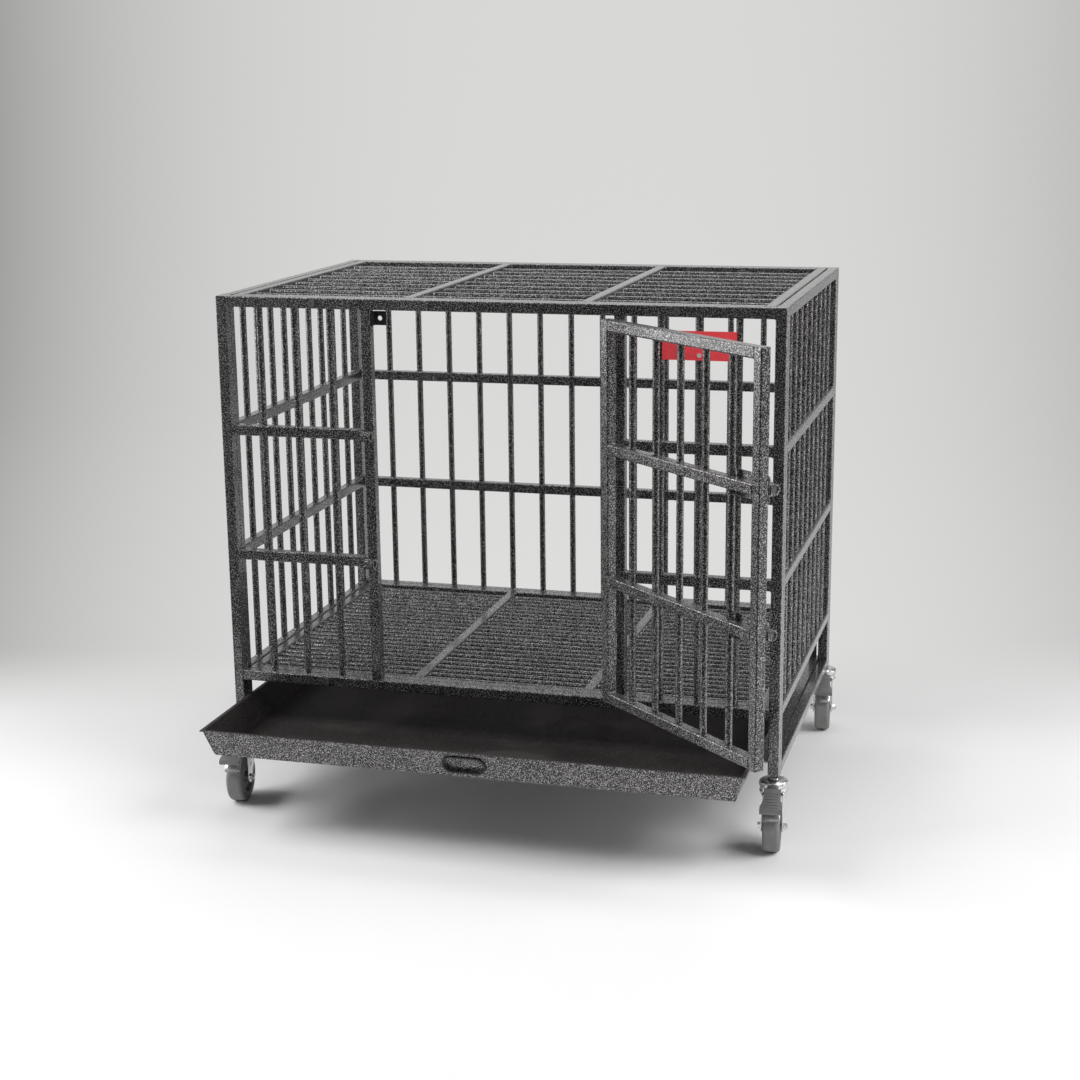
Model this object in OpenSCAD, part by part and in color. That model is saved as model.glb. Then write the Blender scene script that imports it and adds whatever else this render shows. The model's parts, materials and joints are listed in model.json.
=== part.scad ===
// Heavy duty dog crate on casters.
// Millimetres, +Z up, origin on the floor under the middle of the frame, door at -Y.

/* [Frame] */
// Width of the frame, across the front
crate_w = 1080; // [900:1:1300]
// Depth of the frame, front to back
crate_d = 720; // [600:1:900]
// Height of the frame, from the foot of the posts to the top
crate_h = 865; // [760:1:1000]
// Side of the square frame tube
tube = 20; // [16:0.5:26]
// Corner radius of the frame tube
tube_r = 2.5; // [1:0.1:4]
// Diameter of the round bars
bar_d = 12.7; // [8:0.1:16]
// Height of the floor panel's underside over the foot of the posts
floor_rise = 110; // [90:1:130]
// Side gap of the top and floor panels
panel_gap = 3; // [1.5:0.1:6]

/* [Bars] */
// Bars in each fixed section of the front
front_bar_n = 3; // [2:1:5]
// Bars in the back
back_bar_n = 14; // [8:1:18]
// Bars in each side
side_bar_n = 9; // [5:1:12]
// Bars in the top
top_bar_n = 9; // [5:1:14]
// Bars in the floor
floor_bar_n = 24; // [12:1:28]
// Bars in the door
door_bar_n = 5; // [3:1:7]
// Distance between the two dividers of the top and of the floor, middle to middle
divider_span = 340; // [250:1:420]

/* [Door] */
// Clear width of the doorway
doorway_w = 462; // [400:1:520]
// Angle that the door stands open
door_open = 138; // [90:1:150]
// Gap at the hinge side of the door
hinge_gap = 3; // [2:0.1:5]
// Gap at the latch side of the door
latch_gap = 7; // [6:0.1:12]
// Gap over and under the door
door_gap = 3; // [2:0.1:6]

/* [Hinges] */
// Radius of the hinge barrels
barrel_r = 6; // [5:0.1:8]
// Radius of the hinge pins
pin_r = 3; // [2:0.1:3.5]
// Length of one hinge knuckle
knuckle_h = 20; // [14:0.5:30]
// Distance of the hinges from the ends of the door
hinge_inset = 70; // [50:1:150]
// Thickness of the hinge leaves and of the latch plates
leaf_t = 2.5; // [1.5:0.1:3.5]
// Running clearance of pins, axles and bolts
run_gap = 0.08; // [0.03:0.01:0.1]
// Gap at the end of one knuckle
knuckle_gap = 0.5; // [0.3:0.1:1]

/* [Latches] */
// Diameter of the sliding bolts
bolt_d = 12; // [8:0.1:14]
// Outer diameter of the guides and keepers
guide_d = 20; // [18:0.1:26]
// Length of one guide
guide_l = 20; // [14:0.5:26]
// Clear space between the two guides of one latch
guide_space = 38; // [30:0.5:50]
// Clearance of the bolt in its keeper
keeper_gap = 0.75; // [0.4:0.05:1.2]
// Diameter of the knob's stem
stem_d = 8; // [6:0.1:10]
// Diameter of the knob
knob_d = 18; // [14:0.5:24]
// Height of the knob over the bolt's middle
knob_h = 30; // [22:0.5:36]
// Height of the latch plates
latch_plate_h = 45; // [30:0.5:60]

/* [Stop bracket] */
// Height of the stop bracket
stop_h = 26; // [20:0.5:40]
// Reach of the stop bracket into the doorway
stop_reach = 24; // [18:0.5:32]
// Thickness of the stop bracket
stop_t = 3; // [2:0.1:4]
// Diameter of the padlock hole
padlock_d = 9; // [6:0.1:12]
// Gap under the top beam
stop_drop = 4; // [2:0.5:20]
// Gap between the shut door and the bracket
stop_gap = 0.5; // [0.3:0.1:1]

/* [Plate] */
// Width of the red plate
plate_w = 134; // [100:1:160]
// Height of the red plate
plate_h = 52; // [40:1:70]
// Thickness of the red plate
plate_t = 1.5; // [1:0.1:3]
// Gap between the plate and the top beam
plate_drop = 24; // [15:1:60]
// Diameter of the rivets
rivet_d = 4; // [3:0.1:5]
// Distance between the two rivets
rivet_span = 34; // [20:1:44]

/* [Tray] */
// Clearance on each side of the tray
tray_side_gap = 5; // [3:0.1:10]
// Height of the tray
tray_h = 53; // [35:0.5:75]
// Sheet thickness of the tray
tray_t = 1.6; // [1:0.1:3]
// Slant of the tray's walls, from base to rim
tray_flare = 16; // [8:0.5:24]
// Width of the folded rim
tray_lip = 5; // [3:0.1:8]
// How far the tray stands pulled out
tray_out = 216; // [0:1:300]
// Gap between the tray and its runners
tray_gap = 0.2; // [0.1:0.05:0.5]
// Width of the oval pull
pull_w = 77; // [60:1:120]
// Height of the oval pull
pull_h = 30; // [20:0.5:32]
// Depth of the pull's pressed cup
pull_depth = 7; // [4:0.5:24]
// Thickness of the edging around the pull
edging_t = 3; // [1.5:0.1:4]
// Height of the runners over the lower rails
runner_rise = 5; // [0:0.5:10]
// Width of the runners
runner_w = 38; // [30:0.5:60]
// Thickness of the runners and of the tray stops
runner_t = 3; // [2:0.1:5]

/* [Casters] */
// Angle that the casters stand turned
caster_turn = 6; // [-45:1:45]
// Diameter of the wheels
wheel_d = 96; // [75:0.5:110]
// Width of the tyres
tread_w = 32; // [24:0.5:38]
// Depth of the tyre's rubber
tyre_t = 14; // [8:0.5:18]
// Radius of the tyre's shoulders
shoulder_r = 7; // [3:0.5:9]
// Distance of the axle behind the swivel
trail = 32; // [20:0.5:36]
// Thickness of the fork
fork_t = 2.5; // [2:0.1:3.5]
// Radius of the upper race
race_r = 27; // [20:0.1:30]
// Height of the upper race
race_h = 14; // [9:0.5:26]
// Height of the neck between the race and the post
neck_h = 2.5; // [2:0.5:16]
// Diameter of the axle bolts
axle_d = 8; // [6:0.1:10]
// Diameter of the stems
stem_rod_d = 12; // [8:0.1:12]
// Length of the stems in the posts
stem_rod_l = 45; // [25:1:70]
// Length of the brake pedals
pedal_l = 58; // [45:1:70]
// Thickness of the brake pedals
pedal_t = 10; // [7:0.5:12]

/* [Fasteners] */
// Diameter of the panel bolts
screw_d = 8; // [6:0.1:10]
// Diameter of the panel bolts' heads
screw_head_d = 14; // [12:0.1:17]
// Height of the panel bolts' heads
screw_head_h = 4; // [2:0.1:6]
// Distance of the panel bolts from the middle of the crate
screw_x = 345; // [300:1:400]
// Distance of the corner bolts from the floor panel and from the top beams
corner_inset = 60; // [30:1:100]
// Clearance of bolts and rivets in their holes
screw_gap = 0.3; // [0.1:0.05:0.6]

/* [Hidden] */
$fn = 48;

// Colours
steel_c = [0.20, 0.20, 0.21];
dark_c = [0.06, 0.06, 0.06];
red_c = [0.76, 0.10, 0.12];
chrome_c = [0.75, 0.75, 0.77];
tray_c = [0.30, 0.30, 0.31];
rubber_c = [0.17, 0.17, 0.17];
grey_c = [0.36, 0.36, 0.37];

// Small lengths that carry no size of the product
eps = 0.01;
cut = 1;

// Casters, with the swivel axis at the origin
wheel_r = wheel_d / 2;
hub_r = wheel_r - tyre_t;
bond_gap = 0.05;
hub_over = 1;
hub_w = tread_w + 2 * hub_over;
fork_clear = 1;
leg_x = hub_w / 2 + fork_clear;
fork_w = leg_x + fork_t;
crown_clear = 8;
crown_z = wheel_d + crown_clear;
crown_t = 3;
crown_in = 1;
crown_r = race_r - crown_in;
crown_front = crown_r * 0.8;
crown_back = crown_r * 0.5;
ring_in = 2;
ring_r = race_r - ring_in;
ring_z = crown_z + crown_t;
ring_h = 8;
race_gap = 0.5;
race_z = ring_z + ring_h + race_gap;
race_edge = race_h * 0.2;
neck_r = 9;
dome_h = race_h * 0.45;
dome_w = (race_r - neck_r) * 0.85;
dome_z = race_z + race_h - dome_h;
dome_step = 15;
king_r = 5;
king_head_r = 9;
king_head_h = 3;
king_z = crown_z - race_gap;
boss_r = 11;
ear_r = 6;
ear_gap = 5;
ear_y = -(crown_r + ear_gap + ear_r);
ear_z = ring_z + ear_gap;
pivot_r = 3;
pedal_gap = 2.5;
pedal_x = leg_x - pedal_gap;
lip_over = 5;
lip_x = pedal_x + lip_over;
flare_from = 0.6;
flare_to = 0.85;
pedal_drop = 18;
pedal_nose = 2;
shoe_l = 10;
shoe_ahead = 20;
shoe_y = -trail - shoe_ahead - shoe_l;
shoe_in = 3.5;
shoe_x = pedal_x - shoe_in;
nut_d = 13;
nut_h = 6;
axle_end = 2;

// Frame faces and levels
fx = crate_w / 2;
ix = fx - tube;
fy = crate_d / 2;
iy = fy - tube;
wheel_cx = fx - tube / 2;
wheel_cy = fy - tube / 2;
foot_z = race_z + race_h + neck_h;
top_z = foot_z + crate_h;
beam_z = top_z - tube;
floor_z = foot_z + floor_rise;
deck_z = floor_z + tube;
rail_n = 2;
window_h = (beam_z - deck_z - rail_n * tube) / (rail_n + 1);
rail_z = [for (i = [1 : rail_n]) deck_z + i * window_h + (i - 1) * tube];
bar_lo = [deck_z, for (z = rail_z) z + tube];
bar_hi = [for (z = rail_z) z, beam_z];
wall_rails = [foot_z, floor_z, for (z = rail_z) z, beam_z];

// Top and floor panels
panel_x = ix - panel_gap;
panel_in = panel_x - tube;
panel_y = iy - tube;
div_x = divider_span / 2;
span_lo = [-panel_in, -div_x + tube / 2, div_x + tube / 2];
span_hi = [-div_x - tube / 2, div_x - tube / 2, panel_in];

// Doorway and door, in its shut place
way_x = doorway_w / 2;
post_x = way_x + tube;
door_hi = way_x - hinge_gap;
door_lo = -way_x + latch_gap;
door_bot = deck_z + door_gap;
door_top = beam_z - door_gap;
door_rail_z = [door_bot, for (z = rail_z) z, door_top - tube];
door_bar_x = spread(door_bar_n, door_lo + tube, door_hi - tube, bar_d);
hinge_x = way_x - hinge_gap / 2;
hinge_y = -fy - barrel_r;
hinge_h = 3 * knuckle_h + 2 * knuckle_gap;
hinge_z = [door_bot + hinge_inset, door_top - hinge_inset - hinge_h];
leaf_w = tube - hinge_gap;

// Latches, in the shut door's place
latch_z = [for (z = rail_z) z + tube / 2];
bolt_y = -fy - leaf_t - guide_d / 2;
guide_over = 2;
knob_gap = 1;
bolt_travel = guide_space - stem_d - 2 * knob_gap;
bolt_tail = bolt_travel - guide_l / 2;
guide_a = door_lo - guide_over;
guide_b = guide_a + guide_l + guide_space;
guide_end = guide_b + guide_l;
knob_x = guide_b - knob_gap - stem_d / 2;
plate_end = max(guide_end, door_bar_x[0] + bar_d / 2);
keeper_inset = 1;
keeper_l = tube - 2 * keeper_inset;
pad_w = guide_d * 0.8;

// Front section bars
section_x = spread(front_bar_n, post_x, ix, bar_d);
plate_x = section_x[floor((front_bar_n - 1) / 2)];
plate_z = beam_z - plate_drop - plate_h / 2;
plate_y = -fy + tube / 2 - bar_d / 2;
rivet_head_h = 1.5;
rivet_head_d = 2 * rivet_d;

// Stop bracket
stop_z = beam_z - stop_drop - stop_h;
stop_y = -iy + stop_gap;
stop_in = 3;

// Tray and runners, in the pushed-in place
runner_z = foot_z + tube + runner_rise;
base_z = runner_z + tray_gap;
rim_x = ix - tray_side_gap;
wall_x = rim_x - tray_lip;
foot_x = wall_x - tray_flare;
stop_clear = 0.5;
tray_front = -fy;
tray_back = iy - runner_t - stop_clear;
tray_l = tray_back - tray_front;
tray_y = (tray_front + tray_back) / 2;
wall_l = tray_l / 2 - tray_lip;
foot_l = wall_l - tray_flare;
slant = atan2(tray_flare, tray_h);
pull_z = tray_h / 2;
stop_rise = tray_h + tray_gap;
stop_w = rim_x - tray_lip - foot_x;

// Fasteners
socket_d = screw_d * 0.7;
screw_nut_d = screw_d * 1.9;
thread_gap = screw_gap / 2;
corner_grip = tube * 0.7;
corner_z = [deck_z + corner_inset, beam_z - corner_inset];

// Middles of n bars of width d, spread with equal gaps from lo to hi
function spread(n, lo, hi, d) =
    let (gap = (hi - lo - n * d) / (n + 1))
    [for (i = [1 : n]) lo + i * gap + (i - 0.5) * d];

// Square outline with round corners, from the origin
module tube_outline() {
    inner = tube - 2 * tube_r;
    translate([tube_r, 0])
        square([inner, tube]);
    translate([0, tube_r])
        square([tube, inner]);
    for (x = [tube_r, tube - tube_r], y = [tube_r, tube - tube_r])
        translate([x, y])
            circle(r = tube_r);
}

// Square tube along X
module tube_x(x0, x1, y, z) {
    translate([x0, y, z])
        rotate([90, 0, 90])
            linear_extrude(x1 - x0)
                tube_outline();
}

// Square tube along Y
module tube_y(y0, y1, x, z) {
    translate([x, y1, z])
        rotate([90, 0, 0])
            linear_extrude(y1 - y0)
                tube_outline();
}

// Square tube along Z
module tube_z(z0, z1, x, y) {
    translate([x, y, z0])
        linear_extrude(z1 - z0)
            tube_outline();
}

// Round bar along X
module bar_x(x0, x1, y, z) {
    translate([x0, y, z])
        rotate([0, 90, 0])
            cylinder(d = bar_d, h = x1 - x0);
}

// Round bar along Z
module bar_z(z0, z1, x, y) {
    translate([x, y, z0])
        cylinder(d = bar_d, h = z1 - z0);
}

// Round rod along X
module rod_x(x0, x1, y, z, r) {
    translate([x0, y, z])
        rotate([0, 90, 0])
            cylinder(r = r, h = x1 - x0);
}

// Round rod along Y
module rod_y(y0, y1, x, z, r) {
    translate([x, y1, z])
        rotate([90, 0, 0])
            cylinder(r = r, h = y1 - y0);
}

// Wall bars at the places xs, between the rails
module wall_bars(xs, y) {
    for (x = xs, i = [0 : rail_n])
        bar_z(bar_lo[i], bar_hi[i], x, y);
}

// Holes of the panel bolts through a front or back beam and its panel
module screw_holes(z) {
    for (x = [-screw_x, screw_x])
        rod_y(-fy - cut, fy + cut, x, z, screw_d / 2 + screw_gap);
}

// Holes of the corner bolts, through the side posts and part of the corner posts
module corner_holes() {
    reach = iy + corner_grip + screw_gap;
    for (x = [-wheel_cx, wheel_cx], z = corner_z)
        rod_y(-reach, reach, x, z, screw_d / 2 + screw_gap);
}

// Post with the bore of a caster stem
module corner_post(x, y) {
    difference() {
        tube_z(foot_z, top_z, x - tube / 2, y - tube / 2);
        translate([x, y, foot_z - cut])
            cylinder(d = stem_rod_d + 2 * screw_gap, h = stem_rod_l + cut + screw_gap);
        corner_holes();
    }
}

module front_posts() {
    color(steel_c) {
        for (s = [-1, 1])
            corner_post(s * wheel_cx, -wheel_cy);
        tube_z(deck_z, beam_z, way_x, -fy);
        tube_z(deck_z, beam_z, -post_x, -fy);
    }
}

module front_rails() {
    color(steel_c) {
        for (z = [floor_z, beam_z])
            difference() {
                tube_x(-ix, ix, -fy, z);
                screw_holes(z + tube / 2);
            }
        for (z = rail_z) {
            tube_x(post_x, ix, -fy, z);
            tube_x(-ix, -post_x, -fy, z);
        }
    }
}

module front_bars() {
    color(steel_c)
        difference() {
            wall_bars([for (x = section_x, s = [-1, 1]) s * x], -fy + tube / 2);
            for (s = [-1, 1])
                rod_y(plate_y - cut, plate_y + bar_d / 2, plate_x, plate_z + s * rivet_span / 2,
                    rivet_d / 2 + screw_gap);
        }
}

module back_posts() {
    color(steel_c)
        for (s = [-1, 1])
            corner_post(s * wheel_cx, wheel_cy);
}

module back_rails() {
    color(steel_c) {
        for (z = [foot_z, for (z = rail_z) z])
            tube_x(-ix, ix, iy, z);
        for (z = [floor_z, beam_z])
            difference() {
                tube_x(-ix, ix, iy, z);
                screw_holes(z + tube / 2);
            }
    }
}

module back_bars() {
    color(steel_c)
        wall_bars(spread(back_bar_n, -ix, ix, bar_d), iy + tube / 2);
}

// Posts of one side panel, whose tubes start at x
module side_posts(x) {
    for (y = [-iy, panel_y])
        difference() {
            tube_z(foot_z, top_z, x, y);
            corner_holes();
        }
}

// Rails of one side panel, whose tubes start at x
module side_rails(x) {
    for (z = wall_rails)
        tube_y(-panel_y, panel_y, x, z);
}

// Bars of one side panel, whose middles are at x
module side_bars(x) {
    for (y = spread(side_bar_n, -panel_y, panel_y, bar_d), i = [0 : rail_n])
        bar_z(bar_lo[i], bar_hi[i], x, y);
}

module left_posts() {
    color(steel_c)
        side_posts(-fx);
}

module left_rails() {
    color(steel_c)
        side_rails(-fx);
}

module left_bars() {
    color(steel_c)
        side_bars(-wheel_cx);
}

module right_posts() {
    color(steel_c)
        side_posts(ix);
}

module right_rails() {
    color(steel_c)
        side_rails(ix);
}

module right_bars() {
    color(steel_c)
        side_bars(wheel_cx);
}

// Rails of the top or floor panel that run across the crate
module cross_rails(z) {
    for (y = [-iy, panel_y])
        difference() {
            tube_x(-panel_in, panel_in, y, z);
            screw_holes(z + tube / 2);
        }
}

// Rails and dividers of the top or floor panel that run front to back
module long_rails(z) {
    for (x = [-panel_x, panel_in])
        tube_y(-iy, iy, x, z);
    for (x = [-div_x, div_x])
        tube_y(-panel_y, panel_y, x - tube / 2, z);
}

// Bars of the top or floor panel
module panel_bars(n, z) {
    for (y = spread(n, -panel_y, panel_y, bar_d), i = [0 : 2])
        bar_x(span_lo[i], span_hi[i], y, z + tube / 2);
}

module top_cross_rails() {
    color(steel_c)
        cross_rails(beam_z);
}

module top_long_rails() {
    color(steel_c)
        long_rails(beam_z);
}

module top_bars() {
    color(steel_c)
        panel_bars(top_bar_n, beam_z);
}

module floor_cross_rails() {
    color(steel_c)
        cross_rails(floor_z);
}

module floor_long_rails() {
    color(steel_c)
        long_rails(floor_z);
}

module floor_bars() {
    color(steel_c)
        panel_bars(floor_bar_n, floor_z);
}

// Places each panel bolt: at the outer face, pointing inwards along +Y
module at_screws() {
    for (s = [0, 180], x = [-screw_x, screw_x], z = [floor_z, beam_z])
        rotate([0, 0, s])
            translate([x, -fy, z + tube / 2])
                children();
}

// Places each corner bolt: at the inner face of a side post, pointing outwards along +Y
module at_corner_screws() {
    for (s = [0, 180], x = [-wheel_cx, wheel_cx], z = corner_z)
        rotate([0, 0, s])
            translate([x, panel_y, z])
                children();
}

// Bolt along +Y with its head at -Y and a hexagon socket
module screw(grip) {
    difference() {
        union() {
            rod_y(-screw_head_h, 0, 0, 0, screw_head_d / 2);
            rod_y(-screw_head_h / 2, grip, 0, 0, screw_d / 2);
        }
        translate([0, -screw_head_h / 2, 0])
            rotate([90, 0, 0])
                cylinder(d = socket_d, h = screw_head_h, $fn = 6);
    }
}

module panel_bolts() {
    color(steel_c) {
        at_screws()
            screw(2 * tube + nut_h);
        at_corner_screws()
            screw(tube + corner_grip);
    }
}

module panel_nuts() {
    color(chrome_c)
        at_screws()
            difference() {
                translate([0, 2 * tube + nut_h, 0])
                    rotate([90, 0, 0])
                        cylinder(d = screw_nut_d, h = nut_h, $fn = 6);
                rod_y(2 * tube - cut, 2 * tube + nut_h + cut, 0, 0, screw_d / 2 + thread_gap);
            }
}

module red_plate() {
    color(red_c)
        difference() {
            translate([plate_x - plate_w / 2, plate_y - plate_t - bond_gap, plate_z - plate_h / 2])
                cube([plate_w, plate_t, plate_h]);
            for (s = [-1, 1])
                rod_y(plate_y - plate_t - cut, plate_y + cut, plate_x, plate_z + s * rivet_span / 2,
                    rivet_d / 2 + thread_gap);
        }
}

module plate_rivets() {
    face = plate_y - plate_t - bond_gap;
    color(chrome_c)
        for (s = [-1, 1]) {
            z = plate_z + s * rivet_span / 2;
            rod_y(face - rivet_head_h, face, plate_x, z, rivet_head_d / 2);
            rod_y(face - eps, plate_y + bar_d / 2 - cut, plate_x, z, rivet_d / 2);
        }
}

module stop_bracket() {
    color(dark_c)
        difference() {
            union() {
                translate([-way_x, -fy + stop_in, stop_z])
                    cube([stop_t, stop_y + stop_t + fy - stop_in, stop_h]);
                translate([-way_x, stop_y, stop_z])
                    cube([stop_reach, stop_t, stop_h]);
            }
            rod_y(stop_y - cut, stop_y + stop_t + cut, -way_x + stop_reach / 2, stop_z + stop_h / 2,
                padlock_d / 2);
        }
}

// One hinge knuckle with its bore, whose lower end is at z
module knuckle(z) {
    difference() {
        translate([hinge_x, hinge_y, z])
            cylinder(r = barrel_r, h = knuckle_h);
        translate([hinge_x, hinge_y, z - cut])
            cylinder(r = pin_r + run_gap, h = knuckle_h + 2 * cut);
    }
}

// The part of a leaf that joins one knuckle, on the side s
module leaf_root(z, s) {
    difference() {
        translate([s > 0 ? hinge_x : hinge_x - barrel_r - knuckle_gap - eps, -fy - leaf_t, z])
            cube([barrel_r + knuckle_gap + eps, leaf_t, knuckle_h]);
        translate([hinge_x, hinge_y, z - cut])
            cylinder(r = pin_r + run_gap, h = knuckle_h + 2 * cut);
    }
}

// The flat of a leaf, clear of the barrel, on the side s
module leaf_flat(z, s) {
    near = barrel_r + knuckle_gap;
    far = hinge_gap / 2 + leaf_w;
    translate([s > 0 ? hinge_x + near : hinge_x - far, -fy - leaf_t, z])
        cube([far - near, leaf_t, hinge_h]);
}

module hinge_frame_leaves() {
    color(steel_c)
        for (z = hinge_z) {
            for (k = [0, 2]) {
                knuckle(z + k * (knuckle_h + knuckle_gap));
                leaf_root(z + k * (knuckle_h + knuckle_gap), 1);
            }
            leaf_flat(z, 1);
        }
}

module hinge_pins() {
    color(chrome_c)
        for (z = hinge_z)
            translate([hinge_x, hinge_y, z]) {
                cylinder(r = pin_r, h = hinge_h + leaf_t);
                translate([0, 0, hinge_h])
                    cylinder(r = barrel_r - knuckle_gap, h = leaf_t);
            }
}

// Guide or keeper tube from x0 to x1 at the height z, with its pad and bore
module latch_tube(x0, x1, z, bore_r, pad_y) {
    difference() {
        union() {
            rod_x(x0, x1, bolt_y, z, guide_d / 2);
            translate([x0, bolt_y, z - pad_w / 2])
                cube([x1 - x0, pad_y - bolt_y, pad_w]);
        }
        rod_x(x0 - cut, x1 + cut, bolt_y, z, bore_r);
    }
}

module latch_keepers() {
    color(steel_c)
        for (z = latch_z)
            latch_tube(-way_x - keeper_inset - keeper_l, -way_x - keeper_inset, z,
                bolt_d / 2 + keeper_gap, -fy);
}

module tray_runners() {
    color(steel_c)
        for (m = [0, 1])
            mirror([m, 0, 0])
                translate([ix - runner_w, iy, 0])
                    rotate([90, 0, 0])
                        linear_extrude(2 * iy)
                            polygon([
                                [0, runner_z], [runner_w, runner_z], [runner_w, foot_z],
                                [runner_w - runner_t, foot_z], [runner_w - runner_t, runner_z - runner_t],
                                [0, runner_z - runner_t]
                            ]);
}

module tray_stops() {
    color(steel_c)
        for (s = [-1, 1])
            translate([s * (rim_x - stop_w / 2) - stop_w / 2, iy - runner_t, runner_z])
                cube([stop_w, runner_t, stop_rise]);
}

module caster_stems() {
    color(chrome_c)
        for (x = [-wheel_cx, wheel_cx], y = [-wheel_cy, wheel_cy])
            translate([x, y, 0])
                rotate_extrude()
                    polygon([
                        [0, king_z - king_head_h], [king_head_r, king_z - king_head_h],
                        [king_head_r, king_z], [king_r, king_z],
                        [king_r, race_z], [ring_r, race_z], [race_r, race_z + race_edge],
                        for (a = [0 : dome_step : 90])
                            [race_r - dome_w * (1 - cos(a)), dome_z + dome_h * sin(a)],
                        [neck_r, race_z + race_h], [neck_r, foot_z], [stem_rod_d / 2, foot_z],
                        [stem_rod_d / 2, foot_z + stem_rod_l], [0, foot_z + stem_rod_l]
                    ]);
}

// Turns the shut door's pieces to where the door stands
module at_door() {
    translate([hinge_x, hinge_y, 0])
        rotate([0, 0, door_open])
            translate([-hinge_x, -hinge_y, 0])
                children();
}

module door_stiles() {
    color(steel_c)
        at_door()
            for (x = [door_lo, door_hi - tube])
                tube_z(door_bot, door_top, x, -fy);
}

module door_rails() {
    color(steel_c)
        at_door()
            for (z = door_rail_z)
                tube_x(door_lo + tube, door_hi - tube, -fy, z);
}

module door_bars() {
    color(steel_c)
        at_door()
            for (x = door_bar_x, i = [0 : rail_n])
                bar_z(door_rail_z[i] + tube, door_rail_z[i + 1], x, -fy + tube / 2);
}

module hinge_door_leaves() {
    color(steel_c)
        at_door()
            for (z = hinge_z) {
                knuckle(z + knuckle_h + knuckle_gap);
                leaf_root(z + knuckle_h + knuckle_gap, -1);
                leaf_flat(z, -1);
            }
}

module latch_plates() {
    color(steel_c)
        at_door()
            for (z = latch_z)
                translate([door_lo, -fy - leaf_t, z - latch_plate_h / 2])
                    cube([plate_end - door_lo, leaf_t, latch_plate_h]);
}

module latch_guides() {
    color(steel_c)
        at_door()
            for (z = latch_z, x = [guide_a, guide_b])
                latch_tube(x, x + guide_l, z, bolt_d / 2 + run_gap, -fy - leaf_t);
}

// Sliding bolt with its knob, drawn back, at the height z
module latch_bolt(z) {
    knob_z = knob_h - knob_d / 2;
    low_edge = 2;
    top_edge = 3;
    at_door() {
        rod_x(door_lo, guide_end + bolt_tail, bolt_y, z, bolt_d / 2);
        translate([knob_x, bolt_y, z])
            rotate([90, 0, 0])
                rotate_extrude()
                    polygon([
                        [0, 0], [stem_d / 2, 0], [stem_d / 2, knob_z],
                        [knob_d / 2 - low_edge, knob_z], [knob_d / 2, knob_z + low_edge],
                        [knob_d / 2, knob_h - top_edge], [knob_d / 2 - top_edge, knob_h], [0, knob_h]
                    ]);
    }
}

module latch_bolt_upper() {
    color(chrome_c)
        latch_bolt(latch_z[1]);
}

module latch_bolt_lower() {
    color(chrome_c)
        latch_bolt(latch_z[0]);
}

// Slant-sided block of the pan: half sizes at the foot and at the rim, from z0 to z1
module pan_block(x0, y0, x1, y1, z0, z1) {
    big = 2 * (x1 + y1);
    intersection() {
        translate([0, big / 2, 0])
            rotate([90, 0, 0])
                linear_extrude(big)
                    polygon([[-x0, z0], [x0, z0], [x1, z1], [-x1, z1]]);
        translate([-big / 2, 0, 0])
            rotate([90, 0, 90])
                linear_extrude(big)
                    polygon([[-y0, z0], [y0, z0], [y1, z1], [-y1, z1]]);
    }
}

// Long round-ended outline
module oval(w, h) {
    translate([-(w - h) / 2, -h / 2])
        square([w - h, h]);
    for (s = [-1, 1])
        translate([s * (w - h) / 2, 0])
            circle(d = h);
}

// Oval block through the tray's slanted front wall, from depth d0 to d1 along its normal
module at_pull(d0, d1, w, h) {
    translate([0, -foot_l - tray_flare * (pull_z / tray_h), pull_z])
        rotate([90 + slant, 0, 0])
            translate([0, 0, d0])
                linear_extrude(d1 - d0)
                    oval(w, h);
}

// Where the tray stands, pulled out at the front
module at_tray() {
    translate([0, tray_y - tray_out, base_z])
        children();
}

module tray() {
    // Thickness of the slanted wall along X or Y, less the wall's slant over the base sheet
    inset = tray_t / cos(slant) - tray_flare * tray_t / tray_h;
    color(tray_c)
        at_tray()
            difference() {
                union() {
                    difference() {
                        union() {
                            pan_block(foot_x, foot_l, wall_x, wall_l, 0, tray_h);
                            translate([-rim_x, -tray_l / 2, tray_h - tray_t])
                                cube([2 * rim_x, tray_l, tray_t]);
                        }
                        pan_block(foot_x - inset, foot_l - inset, wall_x - inset, wall_l - inset,
                            tray_t, tray_h + tray_t);
                    }
                    at_pull(-pull_depth, -eps, pull_w + 2 * tray_t, pull_h + 2 * tray_t);
                }
                at_pull(tray_t - pull_depth, pull_depth, pull_w, pull_h);
            }
}

module tray_pull_edging() {
    color(dark_c)
        at_tray()
            difference() {
                at_pull(bond_gap, edging_t, pull_w + 2 * edging_t, pull_h + 2 * edging_t);
                at_pull(-pull_depth, pull_depth, pull_w, pull_h);
            }
}

// Side outline of the fork's legs: Y to the right, Z up
module leg_outline() {
    polygon([
        [crown_back, ring_z], [-trail + boss_r, wheel_r], [-trail - boss_r, wheel_r],
        [ear_y - ear_r, ear_z], [ear_y + ear_r, ear_z], [-crown_front, ring_z]
    ]);
    translate([-trail, wheel_r])
        circle(r = boss_r);
    translate([ear_y, ear_z])
        circle(r = ear_r);
}

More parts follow.
